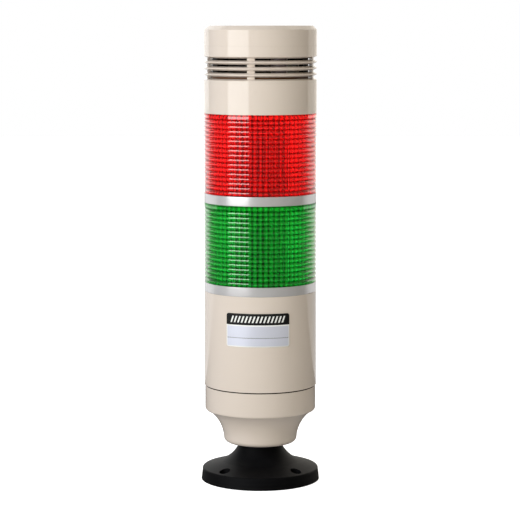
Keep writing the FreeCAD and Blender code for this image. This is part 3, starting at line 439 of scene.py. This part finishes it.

# %% [markdown]
# A capacitor is an aluminium can in a shrink sleeve. The sleeve has a pale stripe and leaves the top bare,
# and the top is scored with a cross, where the can would open. The score is painted dark: painted shade in
# the groove. All three are regions of the can's own box, so the same function fits a can of any size.


# %% Capacitor cans
CAN_TOP_SKIN = 0.2 * MM
SCORE_HALF = 0.22 * MM


def can_finish(node):
    """A shrink sleeve with its pale stripe, and the bare aluminium top with a cross-shaped vent in painted
    shade.
    """
    low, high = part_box(node)
    middle = (low + high) / 2
    can_radius = (high.x - low.x) / 2

    def wires(tree):
        mottle = tree.noise(300.0, 3.0)
        right = tree.axis("X") - middle.x
        back = tree.axis("Y") - middle.y
        radius = (right * right + back * back).math("SQRT")
        bare = tree.axis("Z").above(high.z - CAN_TOP_SKIN) * radius.below(can_radius * 0.84)
        arm = right.math("ABSOLUTE").math("MINIMUM", back.math("ABSOLUTE")).below(SCORE_HALF)
        # painted shade: the cross score is painted dark, and the bump cuts it in
        vent = bare * arm * radius.below(can_radius * 0.62)
        stripe = right.above(can_radius * 0.80)
        shade = tree.blend(mottle, (0.30, 0.24, 0.27), (0.24, 0.19, 0.22))
        shade = tree.blend(stripe, shade, (0.66, 0.64, 0.66))
        shade = tree.blend(bare, shade, (0.72, 0.72, 0.74))
        return {
            "Base Color": tree.blend(vent, shade, (0.16, 0.16, 0.17)),
            "Metallic": bare * 0.9,
            "Roughness": mottle * 0.12 + 0.26,
            "Normal": tree.bump(1 - vent, 0.6, 0.0001),
        }

    finished = finish(node + "_sleeve", wires, {})
    finished["slot"] = "capacitor_sleeve"
    return finished


# %% [markdown]
# The relay sits in a black case that is glued to its foot, which leaves a fine line all round. Both broad
# sides carry a blank pale field. These marks are flat on the real pieces, so they are painted and not modelled.
# The plugs are pale nylon, with a row of contact holes in the top. The holes are not modelled: their dark is
# painted shade.

# %% Relay case
FOOT_LINE = (2.2 * MM, 2.5 * MM)
FIELD_RISE = (4.5 * MM, 12.0 * MM)
FIELD_HALF = 7.0 * MM
FIELD_FACE = 6.9 * MM


def relay_wires(tree):
    """A black case with a blank pale field and a parting line round its foot."""
    low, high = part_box("flasher_relay")
    mottle = tree.noise(1200.0, 3.0)
    up = tree.axis("Z") - low.z
    line = up.between(*FOOT_LINE)
    across = (tree.axis("X") - (low.x + high.x) / 2).math("ABSOLUTE")
    field = up.between(*FIELD_RISE) * across.below(FIELD_HALF)
    field = field * (tree.axis("Y") - (low.y + high.y) / 2).math("ABSOLUTE").above(FIELD_FACE)
    case = tree.blend(mottle, (0.012, 0.012, 0.013), (0.022, 0.022, 0.024))
    case = tree.blend(field, case, (0.42, 0.42, 0.40))
    return {
        "Base Color": tree.blend(line, case, (0.003, 0.003, 0.003)),
        "Roughness": mottle * 0.12 + 0.40,
        "Normal": tree.bump(mottle - line, 0.4, 0.00005),
    }


relay_case = finish("relay_case", relay_wires, {})
relay_case["slot"] = "black_plastic"

# %% Plugs
CONTACT_PITCH = 2.0 * MM
CONTACT_HALF_SHARE = 0.22
CONTACT_HALF_DEPTH = 0.7 * MM


def plug_wires(tree):
    """Pale nylon with a row of contact holes in the top, whose dark is painted shade."""
    plug_low, plug_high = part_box("red_light_plug")
    mottle = tree.noise(700.0, 3.0)
    contact = tree.axis("X") / CONTACT_PITCH
    # painted shade: the contact holes are dark squares painted on the top face
    hole = (contact - contact.math("FLOOR") - 0.5).math("ABSOLUTE").below(CONTACT_HALF_SHARE)
    row = (tree.axis("Y") - (plug_low.y + plug_high.y) / 2).math("ABSOLUTE").below(CONTACT_HALF_DEPTH)
    nylon = tree.blend(mottle, (0.70, 0.68, 0.60), (0.62, 0.60, 0.52))
    return {
        "Base Color": tree.blend(hole * row, nylon, (0.03, 0.03, 0.03)),
        "Roughness": mottle * 0.12 + 0.38,
        "Normal": tree.bump(mottle - hole * row, 0.4, 0.00008),
    }


plug_white = finish("plug_plastic", plug_wires, {})

# %% [markdown]
# Bolts, nuts, washers and the tie rod are zinc-plated steel, cut from drawn bar. A noise that is stretched
# along the axis gives the fine lines that drawing leaves.


# %% Zinc-plated steel
def steel_wires(tree):
    brushed = tree.noise(1600.0, 3.0, 0.6, (1, 1, 0.15))
    return {
        "Base Color": tree.blend(brushed, (0.56, 0.56, 0.52), (0.70, 0.69, 0.64)),
        "Roughness": brushed * 0.18 + 0.24,
        "Normal": tree.bump(brushed, 0.2, 0.00003),
    }


zinc = finish("zinc_steel", steel_wires, {"Metallic": 1.0})
print("finishes so far:", len(bpy.data.materials))

# %% [markdown]
# ## The lens plastic
# Each lens is clear acrylic with the colour moulded in. Light that enters is bent by the ridges outside and
# by the flutes inside, which together make the bright net in the photograph. A painted net would look the
# same from everywhere, so the finish is a true refracting one, and the net comes from the shape of the mesh.
# Paint only helps it: painted shade deepens the colour along the grooves and the valleys of the net, where
# the bent light turns dark, and a hard coat on the crests of the ridges keeps their highlights crisp.

# %% Red and green acrylic
RIDGE_PITCH = 2.3 * MM
RIDGE_COUNT = 16
LENS_FOOT_BAND = 0.3 * MM
RING_LIP = 1.4 * MM
FLUTE_COUNT = 64


def acrylic(name, node, light, deep):
    """Tinted acrylic: clear below a hard gloss, with painted shade that deepens the colour along the grooves of
    the net.
    """
    first_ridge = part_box(node)[0].z + RING_LIP + LENS_FOOT_BAND

    def wires(tree):
        cloud = tree.noise(180.0, 2.0)
        around = tree.axis("X").math("ARCTAN2", tree.axis("Y")) * (FLUTE_COUNT / (2 * math.pi)) + 0.5
        upward = (tree.axis("Z") - first_ridge) / RIDGE_PITCH
        side_edge = (around - around.math("FLOOR") - 0.5).math("ABSOLUTE") * 2
        ridge_edge = (upward - upward.math("FLOOR") - 0.5).math("ABSOLUTE") * 2
        groove = tree.ramp(side_edge, (0.55, 0.0), (0.85, 1.0))
        valley = tree.ramp(ridge_edge, (0.45, 0.0), (0.90, 1.0))
        # painted shade: the grooves and valleys of the net get the deeper colour, standing for the dark of the
        # bent light
        net = (groove * 0.7 + valley * 0.5).math("MINIMUM", 1.0)
        clear = tree.blend(cloud, light, tuple(channel * 0.9 for channel in light))
        return {
            "Base Color": tree.blend(net, clear, deep),
            "Roughness": cloud * 0.02 + 0.02,
            "Coat Weight": tree.ramp(ridge_edge, (0.30, 1.0), (0.60, 0.0)),
        }

    gloss = {"Coat IOR": 1.8, "Coat Roughness": 0.03}
    return finish(name, wires, {"Transmission Weight": 0.88, "IOR": 1.49, **gloss})


# the second colour of each lens is its painted shade along the net
red_acrylic = acrylic("red_lens_plastic", "red_lens", (0.98, 0.006, 0.006), (0.30, 0.001, 0.001))
green_acrylic = acrylic("green_lens_plastic", "green_lens", (0.002, 0.56, 0.048), (0.001, 0.06, 0.003))

# %% [markdown]
# ## A ribbed lens with Geometry Nodes
# The shape follows a rule: round ridges stacked along the height outside, and ribs that run up the inside.
# A grid is a good start for such a tube. Its columns become angles, and its rows go up the outside and come
# back down the inside, so one formula for the radius bends it into a closed wall. Every ridge takes the same
# number of rows, so all ridges have the same shape.


# %% Helpers for geometry trees
def geometry_tree(name, inputs):
    """A geometry tree with named number inputs. Gives the tree, its input wires and the group itself."""
    group = bpy.data.node_groups.new(name, "GeometryNodeTree")
    group.interface.new_socket("Geometry", in_out="OUTPUT", socket_type="NodeSocketGeometry")
    for label, (kind, value) in inputs.items():
        socket = group.interface.new_socket(label, in_out="INPUT", socket_type=kind)
        socket.default_value = value
    tree = Tree(group)
    entry = group.nodes.new("NodeGroupInput")
    wires = {label: Wire(tree, entry.outputs[label]) for label in inputs}
    return group, tree, wires


def end_tree(group, tree, shape, material):
    """Close a geometry tree: real geometry, and one material unless its parts have theirs."""
    real = tree.add("GeometryNodeRealizeInstances", None, {0: shape})
    if material:
        real = tree.add("GeometryNodeSetMaterial", None, {0: real, "Material": material})
    out = group.nodes.new("NodeGroupOutput")
    group.links.new(real.socket, out.inputs[0])


def unit_grid(tree, columns, rows):
    """A grid with so many faces each way, and how far along and up a point of it is, from 0 to 1."""
    sockets = {"Size X": 1.0, "Size Y": 1.0, "Vertices X": columns + 1, "Vertices Y": rows + 1}
    grid = tree.add("GeometryNodeMeshGrid", None, sockets)
    spot = tree.add("GeometryNodeInputPosition")
    along = tree.add("ShaderNodeSeparateXYZ", None, {0: spot}, "X") + 0.5
    up = tree.add("ShaderNodeSeparateXYZ", None, {0: spot}, "Y") + 0.5
    return grid, along, up


def bend_round(tree, grid, angle, radius, height):
    """Move every point of a grid to its angle and radius round the axis and to its height."""
    ring = {"X": radius * angle.math("COSINE"), "Y": radius * angle.math("SINE"), "Z": height}
    target = tree.add("ShaderNodeCombineXYZ", None, ring)
    return tree.add("GeometryNodeSetPosition", None, {0: grid, "Position": target})


# %% Helpers that turn a tree into a mesh
MERGE = 0.0005 * MM


def grown(name, group, values):
    """Run a geometry tree with its input values, and keep a plain mesh that has no empty slots."""
    holder = bpy.data.objects.new(name + "_seed", bpy.data.meshes.new(name + "_seed"))
    bpy.context.scene.collection.objects.link(holder)
    modifier = holder.modifiers.new("growth", "NODES")
    modifier.node_group = group
    for item in group.interface.items_tree:
        if item.in_out == "INPUT" and item.name in values:
            modifier[item.identifier] = values[item.name]
    holder.update_tag()
    graph = bpy.context.evaluated_depsgraph_get()
    mesh = bpy.data.meshes.new_from_object(holder.evaluated_get(graph), depsgraph=graph)
    holder.modifiers.remove(modifier)
    bpy.data.objects.remove(holder)
    mesh.name = name
    slots = list(mesh.materials)
    kept = [material for material in slots if material]
    slot_of_face = [kept.index(slots[face.material_index]) for face in mesh.polygons]
    mesh.materials.clear()
    for material in kept:
        mesh.materials.append(material)
    mesh.polygons.foreach_set("material_index", slot_of_face)
    piece = bpy.data.objects.new(name, mesh)
    bpy.context.scene.collection.objects.link(piece)
    return piece


def close_and_smooth(piece, sharp_angle):
    """Merge doubles, point the faces outwards and shade smooth, except over sharp edges."""
    form = bmesh.new()
    form.from_mesh(piece.data)
    bmesh.ops.remove_doubles(form, verts=form.verts, dist=MERGE)
    bmesh.ops.recalc_face_normals(form, faces=form.faces)
    open_edges = sum(1 for edge in form.edges if not edge.is_manifold)
    form.to_mesh(piece.data)
    form.free()
    piece.data.shade_smooth()
    piece.data.set_sharp_from_angle(angle=sharp_angle)
    return open_edges


# %% The tree of the ribbed lens
RIDGE_STEPS = 10
RIB_STEPS = 6
HAIR = 0.01 * MM
NUMBER = "NodeSocketFloat"
lens_inputs = {
    "Foot": (NUMBER, 0.0),
    "Bottom": (NUMBER, 0.0),
    "Top": (NUMBER, 0.04),
    "Head": (NUMBER, 0.04),
    "Crest radius": (NUMBER, 0.028),
    "Rim radius": (NUMBER, 0.0266),
    "Inner radius": (NUMBER, 0.025),
    "Ridge start": (NUMBER, 0.0),
    "Ridge pitch": (NUMBER, 0.0023),
    "Ridge count": (NUMBER, 16.0),
    "Ridge depth": (NUMBER, 0.0006),
    "Rib count": (NUMBER, 64.0),
    "Rib depth": (NUMBER, 0.0006),
    "Rib margin": (NUMBER, 0.0015),
    "Ridge steps": (NUMBER, 10.0),
    "Rows below": (NUMBER, 8.0),
    "Outer rows": ("NodeSocketInt", 148),
    "Inner rows": ("NodeSocketInt", 28),
    "Columns": ("NodeSocketInt", 384),
}


def lens_group(material):
    """Bend a grid into the wall of a lens."""
    group, tree, size = geometry_tree("ribbed_lens_" + material.name, lens_inputs)
    rows = size["Outer rows"] + size["Inner rows"] + 2
    grid, along, up = unit_grid(tree, size["Columns"], rows)
    angle = along * (2 * math.pi)
    row = (up * rows).math("ROUND")
    outside = row.below(size["Outer rows"] + 0.5)
    inner_share = (row - size["Outer rows"] - 1) / size["Inner rows"]
    inner_share = inner_share.math("MINIMUM", 1.0)
    tall = size["Head"] - size["Foot"]
    inner_height = size["Head"] - tall * inner_share

    pitch = size["Ridge pitch"]
    outer_height = size["Ridge start"] + (row - size["Rows below"]) * (pitch / size["Ridge steps"])
    outer_height = outer_height.math("MAXIMUM", size["Foot"]).math("MINIMUM", size["Head"])
    climb = outer_height - size["Ridge start"]
    offset = climb - pitch * (climb / pitch).math("FLOOR") - pitch * 0.5
    curve = (pitch * pitch * 0.25 + size["Ridge depth"] * size["Ridge depth"]) / (size["Ridge depth"] * 2)
    sag = curve - (curve * curve - offset * offset).math("SQRT")
    ridged = climb.above(0.0) * climb.below(pitch * size["Ridge count"])
    band = outer_height.above(size["Bottom"] - HAIR) * outer_height.below(size["Top"] + HAIR)
    outer_radius = size["Rim radius"] + band * (size["Crest radius"] - size["Rim radius"]) - sag * ridged

    wave = 1 - (angle * size["Rib count"] * 0.5).math("COSINE").math("ABSOLUTE")
    low_end = inner_height.above(size["Bottom"] + size["Rib margin"])
    high_end = inner_height.below(size["Top"] - size["Rib margin"])
    inner_radius = size["Inner radius"] + wave * size["Rib depth"] * low_end * high_end

    radius = outer_radius * outside + inner_radius * (1 - outside)
    height = outer_height * outside + inner_height * (1 - outside)
    closing = row.above(rows - 0.5)
    radius = radius * (1 - closing) + size["Rim radius"] * closing
    height = height * (1 - closing) + size["Foot"] * closing
    end_tree(group, tree, bend_round(tree, grid, angle, radius, height), material)
    return group


# %% Grow both lenses
RIDGE_DEPTH = 0.62 * MM
LENS_INNER = 25.0 * MM
LENS_RIM = 26.6 * MM


def lens(name, material):
    low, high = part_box(name)
    tall = high.z - low.z
    bottom = low.z + RING_LIP
    step = RIDGE_PITCH / RIDGE_STEPS
    rows_below = math.ceil((RING_LIP + LENS_FOOT_BAND) / step)
    rows_above = math.ceil((tall - RING_LIP - LENS_FOOT_BAND) / step)
    values = {
        "Foot": low.z,
        "Bottom": bottom,
        "Top": high.z - RING_LIP,
        "Head": high.z,
        "Crest radius": high.x,
        "Rim radius": LENS_RIM,
        "Inner radius": LENS_INNER,
        "Ridge start": bottom + LENS_FOOT_BAND,
        "Ridge pitch": RIDGE_PITCH,
        "Ridge count": float(RIDGE_COUNT),
        "Ridge depth": RIDGE_DEPTH,
        "Ridge steps": float(RIDGE_STEPS),
        "Rows below": float(rows_below),
        "Outer rows": rows_below + rows_above,
        "Columns": FLUTE_COUNT * RIB_STEPS,
    }
    piece = grown(name + "_ribbed", lens_group(material), values)
    open_edges = close_and_smooth(piece, math.radians(35))
    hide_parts(name)
    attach(piece, "tower")
    print(name, "faces:", len(piece.data.polygons), "open edges:", open_edges)


lens("red_lens", red_acrylic)
lens("green_lens", green_acrylic)

# %% [markdown]
# ## LEDs and a threaded rod with Geometry Nodes
# An LED is one small form that repeats: a white body, six legs and a window. It is built once, and then
# instanced on a grid of points that is bent round the four upright boards. The rod's thread follows a rule,
# as the lens does: its radius depends on the height and the angle together, which gives a helix.


# %% Sizes of an LED and its array
led_inputs = {
    "Rows": (NUMBER, 4.0),
    "Row pitch": (NUMBER, 0.0078),
    "First row": (NUMBER, 0.0),
    "Board distance": (NUMBER, 0.008),
    "Sideways": (NUMBER, -0.0008),
    "Size": (NUMBER, 0.005),
    "Thickness": (NUMBER, 0.0015),
}
BOARD_SIDES = 4
print("inputs of the array:", len(led_inputs))


# %% One LED
def painted(tree, shape, material):
    return tree.add("GeometryNodeSetMaterial", None, {0: shape, "Material": material})


def one_led(tree, size):
    """A white body, six zinc legs and a round window on its front."""
    edge = size["Size"]
    deep = size["Thickness"]
    case_size = tree.add("ShaderNodeCombineXYZ", None, {"X": edge * 0.92, "Y": deep * 0.87, "Z": edge})
    case = tree.add("GeometryNodeMeshCube", None, {"Size": case_size})
    case_place = tree.add("ShaderNodeCombineXYZ", None, {"Y": deep * -0.435})
    case = tree.add("GeometryNodeTransform", None, {0: case, "Translation": case_place})
    ball = tree.add("GeometryNodeMeshUVSphere", None, {"Segments": 20, "Rings": 8, "Radius": edge * 0.40})
    window_place = tree.add("ShaderNodeCombineXYZ", None, {"Y": deep * -0.87})
    window_sockets = {0: ball, "Translation": window_place, "Scale": (1.0, 0.09, 1.0)}
    window = tree.add("GeometryNodeTransform", None, window_sockets)
    leg_size = tree.add("ShaderNodeCombineXYZ", None, {"X": edge * 0.06, "Y": deep * 0.30, "Z": edge * 0.18})
    leg = tree.add("GeometryNodeMeshCube", None, {"Size": leg_size})
    leg_grid = {"Size X": edge * 0.94, "Size Y": edge * 0.64, "Vertices X": 2, "Vertices Y": 3}
    leg_points = tree.add("GeometryNodeMeshGrid", None, leg_grid)
    leg_place = tree.add("ShaderNodeCombineXYZ", None, {"Y": deep * -0.15})
    leg_sockets = {0: leg_points, "Translation": leg_place, "Rotation": (math.pi / 2, 0, 0)}
    leg_points = tree.add("GeometryNodeTransform", None, leg_sockets)
    legs = tree.add("GeometryNodeInstanceOnPoints", None, {"Points": leg_points, "Instance": leg})
    led = tree.add("GeometryNodeJoinGeometry")
    for part, material in ((legs, zinc), (window, phosphor), (case, led_white)):
        tree.tree.links.new(painted(tree, part, material).socket, led.socket.node.inputs[0])
    return led


# %% The tree of the LEDs
def led_group(rows):
    """Instance one LED on every board place."""
    group, tree, size = geometry_tree("led_array", led_inputs)
    led = one_led(tree, size)
    grid_sockets = {"Size X": 1.0, "Size Y": 1.0, "Vertices X": BOARD_SIDES, "Vertices Y": rows}
    grid = tree.add("GeometryNodeMeshGrid", None, grid_sockets)
    index = tree.add("GeometryNodeInputIndex")
    side = ((index + 0.5) / size["Rows"]).math("FLOOR")
    row = index - side * size["Rows"]
    angle = side * (2 * math.pi / BOARD_SIDES)
    across = angle.math("COSINE") * size["Sideways"] + angle.math("SINE") * size["Board distance"]
    back = angle.math("SINE") * size["Sideways"] - angle.math("COSINE") * size["Board distance"]
    height = size["First row"] + row * size["Row pitch"]
    target = tree.add("ShaderNodeCombineXYZ", None, {"X": across, "Y": back, "Z": height})
    places = tree.add("GeometryNodeSetPosition", None, {0: grid, "Position": target})
    turn = tree.add("ShaderNodeCombineXYZ", None, {"Z": angle})
    array_sockets = {"Points": places, "Instance": led, "Rotation": turn}
    array = tree.add("GeometryNodeInstanceOnPoints", None, array_sockets)
    end_tree(group, tree, array, None)
    return group


# %% Place the LEDs
LED_ROWS = 4
LED_SIZE = 5.0 * MM
LED_THICKNESS = 1.5 * MM
board_low, board_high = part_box("red_light_board")
for colour in ("red", "green"):
    led_low, led_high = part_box(colour + "_leds")
    values = {
        "Rows": float(LED_ROWS),
        "Row pitch": (led_high.z - led_low.z - LED_SIZE) / (LED_ROWS - 1),
        "First row": led_low.z + LED_SIZE / 2,
        "Board distance": led_high.x - LED_THICKNESS,
        "Sideways": (board_low.z - board_high.z) / 2,
        "Size": LED_SIZE,
        "Thickness": LED_THICKNESS,
    }
    leds = grown(colour + "_led_array", led_group(LED_ROWS), values)
    close_and_smooth(leds, math.radians(40))
    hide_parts(colour + "_leds")
    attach(leds, "tower")
    print(leds.name, "faces:", len(leds.data.polygons))

# %% Sizes of the threaded rod
rod_inputs = {
    "Bottom": (NUMBER, 0.0),
    "Top": (NUMBER, 0.1),
    "Radius": (NUMBER, 0.002),
    "Thread pitch": (NUMBER, 0.0007),
    "Thread depth": (NUMBER, 0.0003),
    "Thread length": (NUMBER, 0.012),
    "Chamfer": (NUMBER, 0.0004),
    "Rows": ("NodeSocketInt", 900),
    "Columns": ("NodeSocketInt", 28),
}
print("inputs of the rod:", len(rod_inputs))


# %% The tree of the threaded rod
def rod_group(material):
    """Bend a grid into a rod with a thread at both ends."""
    group, tree, size = geometry_tree("threaded_rod", rod_inputs)
    grid, along, up = unit_grid(tree, size["Columns"], size["Rows"] + 2)
    row = (up * (size["Rows"] + 2)).math("ROUND") - 1
    share = (row / size["Rows"]).math("MAXIMUM", 0.0).math("MINIMUM", 1.0)
    height = size["Bottom"] + (size["Top"] - size["Bottom"]) * share
    from_end = (height - size["Bottom"]).math("MINIMUM", size["Top"] - height)
    turns = height / size["Thread pitch"] - along
    flank = (turns - turns.math("FLOOR") - 0.5).math("ABSOLUTE") * 2
    groove = flank * size["Thread depth"] * from_end.below(size["Thread length"])
    limit = size["Radius"] - size["Chamfer"] + from_end
    radius = (size["Radius"] - groove).math("MINIMUM", limit)
    radius = radius * row.above(-0.5) * row.below(size["Rows"] + 0.5)
    angle = along * (2 * math.pi)
    end_tree(group, tree, bend_round(tree, grid, angle, radius, height), material)
    return group


# %% Cut the rod's thread
M4_PITCH = 0.7 * MM
M4_THREAD_DEPTH = 0.32 * MM
THREAD_LENGTH = 14.0 * MM
ROD_CHAMFER = 0.4 * MM
ROWS_PER_TURN = 6
rod_low, rod_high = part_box("tie_rod")
values = {
    "Bottom": rod_low.z,
    "Top": rod_high.z,
    "Radius": rod_high.x,
    "Thread pitch": M4_PITCH,
    "Thread depth": M4_THREAD_DEPTH,
    "Thread length": THREAD_LENGTH,
    "Chamfer": ROD_CHAMFER,
    "Rows": round((rod_high.z - rod_low.z) / M4_PITCH * ROWS_PER_TURN),
}
rod = grown("tie_rod_threaded", rod_group(zinc), values)
rod_open = close_and_smooth(rod, math.radians(35))
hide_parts("tie_rod")
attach(rod, "tower")
print("rod faces:", len(rod.data.polygons), "open edges:", rod_open)

# %% [markdown]
# ## Shells with softened edges
# The frame's pieces have the right form, but knife-sharp edges, and no moulded part has those. A copy of
# each shell gets its triangles merged into clean faces, and then a small rounding on every edge. That
# rounding is what draws the thin bright lines round the rings and under the lid. A turned wall is still made
# of flat facets, so its normals are turned to face straight out from the axis.

# %% Normals of a turned surface
FACET_DRIFT = 0.12


def turned_normals(mesh, sharp_angle):
    """Give each corner the mean normal of the smooth faces round it, weighted by area and free of facets."""
    form = bmesh.new()
    form.from_mesh(mesh)
    limit = math.cos(sharp_angle)
    normals = []
    for face in form.faces:
        for corner in face.loops:
            total = Vector((0, 0, 0))
            for other in corner.vert.link_faces:
                if other.normal.dot(face.normal) > limit:
                    total += other.normal * other.calc_area()
            sideways = Vector((-corner.vert.co.y, corner.vert.co.x, 0)).normalized()
            drift = total.normalized().dot(sideways)
            if abs(drift) < FACET_DRIFT:
                total = total.normalized() - sideways * drift
            normals.append(total.normalized())
    form.free()
    mesh.shade_smooth()
    mesh.normals_split_custom_set(normals)


# %% Soften a shell
IN_PLANE = math.radians(0.4)
ROUNDED_FROM = math.radians(32)
SHARP_FROM = math.radians(50)


def softened(node, material, body, rounding, sides=2):
    """A copy of a frame piece with merged faces and rounded edges, which stands for it."""
    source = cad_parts[node]
    mesh = source.data.copy()
    mesh.name = node + "_soft"
    form = bmesh.new()
    form.from_mesh(mesh)
    bmesh.ops.remove_doubles(form, verts=form.verts, dist=MERGE)
    bmesh.ops.dissolve_limit(form, angle_limit=IN_PLANE, verts=form.verts, edges=form.edges)
    form.to_mesh(mesh)
    form.free()
    piece = bpy.data.objects.new(node + "_soft", mesh)
    bpy.context.scene.collection.objects.link(piece)
    mesh.materials.clear()
    mesh.materials.append(material)
    bevel = piece.modifiers.new("rounding", "BEVEL")
    bevel.width = rounding
    bevel.segments = sides
    bevel.limit_method = "ANGLE"
    bevel.angle_limit = ROUNDED_FROM
    bevel.use_clamp_overlap = True
    graph = bpy.context.evaluated_depsgraph_get()
    finished = bpy.data.meshes.new_from_object(piece.evaluated_get(graph), depsgraph=graph)
    piece.modifiers.clear()
    piece.data = finished
    finished.name = node + "_soft"
    turned_normals(finished, SHARP_FROM)
    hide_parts(node)
    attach(piece, body)


# %% Soften the housings, the rings and the base
for node in ("bottom_cover", "body_housing", "buzzer_housing"):
    softened(node, ivory, "tower", 0.16 * MM)
softened("top_lid", ivory, "lid", 0.20 * MM)
for node in ("lower_silver_ring", "middle_silver_ring"):
    softened(node, silver, "tower", 0.22 * MM)
softened("base_flange", base_black, "tower", 0.25 * MM)
softened("flasher_relay", relay_case, "tower", 0.5 * MM)
for node in ("green_light_plug", "red_light_plug", "sounder_plug"):
    softened(node, plug_white, "tower", 0.3 * MM)

# %% [markdown]
# ## The nameplate
# A thin foil plate with a black heading band over two silver fields. The band carries a plain row of slanted
# strokes. Marks like these could be cut from the mesh, but print has no thickness, so the finish draws them:
# the angle round the tower and the height say where a point is on the plate.

# %% Nameplate foil
plate_low, plate_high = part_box("nameplate")
BAND_HEIGHT = 5.6 * MM
LINE_HEIGHT = 0.55 * MM
FIELD_LINE = 4.6 * MM
PLATE_CENTRE = math.radians(2.8)
PLATE_RADIUS = 28.1 * MM
PLATE_HALF = PLATE_RADIUS * math.radians(33.0)
STROKE_PITCH = 1.85 * MM
STROKE_SHARE = 0.45
STROKE_LEAN = 0.35
STROKE_HALF_HEIGHT = 1.6 * MM
STROKES = 15
BORDER = 0.5 * MM


def nameplate_wires(tree):
    height = tree.axis("Z") - plate_low.z
    angle = tree.axis("X").math("ARCTAN2", 0 - tree.axis("Y"))
    side = (angle + PLATE_CENTRE) * PLATE_RADIUS
    top = plate_high.z - plate_low.z
    band = height.above(top - BAND_HEIGHT)
    middle = top - BAND_HEIGHT / 2
    lean = (side - (height - middle) * STROKE_LEAN) / STROKE_PITCH
    phase = lean + STROKE_SHARE / 2
    stroke = (phase - phase.math("FLOOR")).below(STROKE_SHARE)
    inside = (height - middle).math("ABSOLUTE").below(STROKE_HALF_HEIGHT)
    inside = inside * lean.math("ABSOLUTE").below(STROKES / 2)
    under = height.between(top - BAND_HEIGHT - LINE_HEIGHT, top - BAND_HEIGHT)
    edge = side.math("ABSOLUTE").above(PLATE_HALF - BORDER)
    frame_line = (edge + height.below(BORDER)).math("MINIMUM", 1.0)
    split = height.between(FIELD_LINE - LINE_HEIGHT * 0.4, FIELD_LINE)
    grain = tree.noise(2400.0, 3.0, 0.6, (1, 1, 0.1))
    foil = tree.blend(grain, (0.70, 0.72, 0.83), (0.74, 0.76, 0.87))
    foil = tree.blend(under, foil, (0.86, 0.86, 0.86))
    foil = tree.blend(split, foil, (0.10, 0.10, 0.11))
    foil = tree.blend(frame_line, foil, (0.90, 0.90, 0.90))
    black = tree.blend(stroke * inside, (0.002, 0.002, 0.002), (0.80, 0.80, 0.78))
    return {
        "Base Color": tree.blend(band, foil, black),
        "Metallic": (1 - band) * (1 - under) * (1 - split) * 0.30,
        "Roughness": grain * 0.10 + 0.30 + band * 0.35,
        "Normal": tree.bump(grain, 0.12, 0.00002),
    }


foil = finish("nameplate_foil", nameplate_wires, {})
softened("nameplate", foil, "tower", 0.05 * MM, 1)

# %% [markdown]
# ## The inner pieces
# Seals, bolts, boards and cans keep the frame's own meshes and only change their finish. Little of them
# shows, and the frame already gives their true form, so a second copy of each would add nothing.

# %% Paint the inner pieces
PAINT = {
    rubber: ("neck_seal", "lid_seal"),
    zinc: (
        "hollow_bolt",
        "hollow_bolt_washer",
        "hollow_bolt_nut",
        "terminal_screws",
        "sounder_board_screws",
        "rod_top_washer",
        "rod_bottom_washer",
        "rod_top_nut",
        "rod_bottom_nut",
    ),
    solder_mask: (
        "control_board",
        "green_light_board",
        "green_light_column",
        "red_light_board",
        "red_light_column",
    ),
    dark_plastic: ("piezo_sounder", "sound_reflector"),
    phenolic: ("sounder_board",),
    terminal_green: ("terminal_block",),
    can_finish("filter_capacitor"): ("filter_capacitor",),
    can_finish("sounder_capacitor"): ("sounder_capacitor",),
}
for material, nodes in PAINT.items():
    for node in nodes:
        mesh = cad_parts[node].data
        mesh.materials.clear()
        mesh.materials.append(material)
print("painted pieces:", sum(len(nodes) for nodes in PAINT.values()))
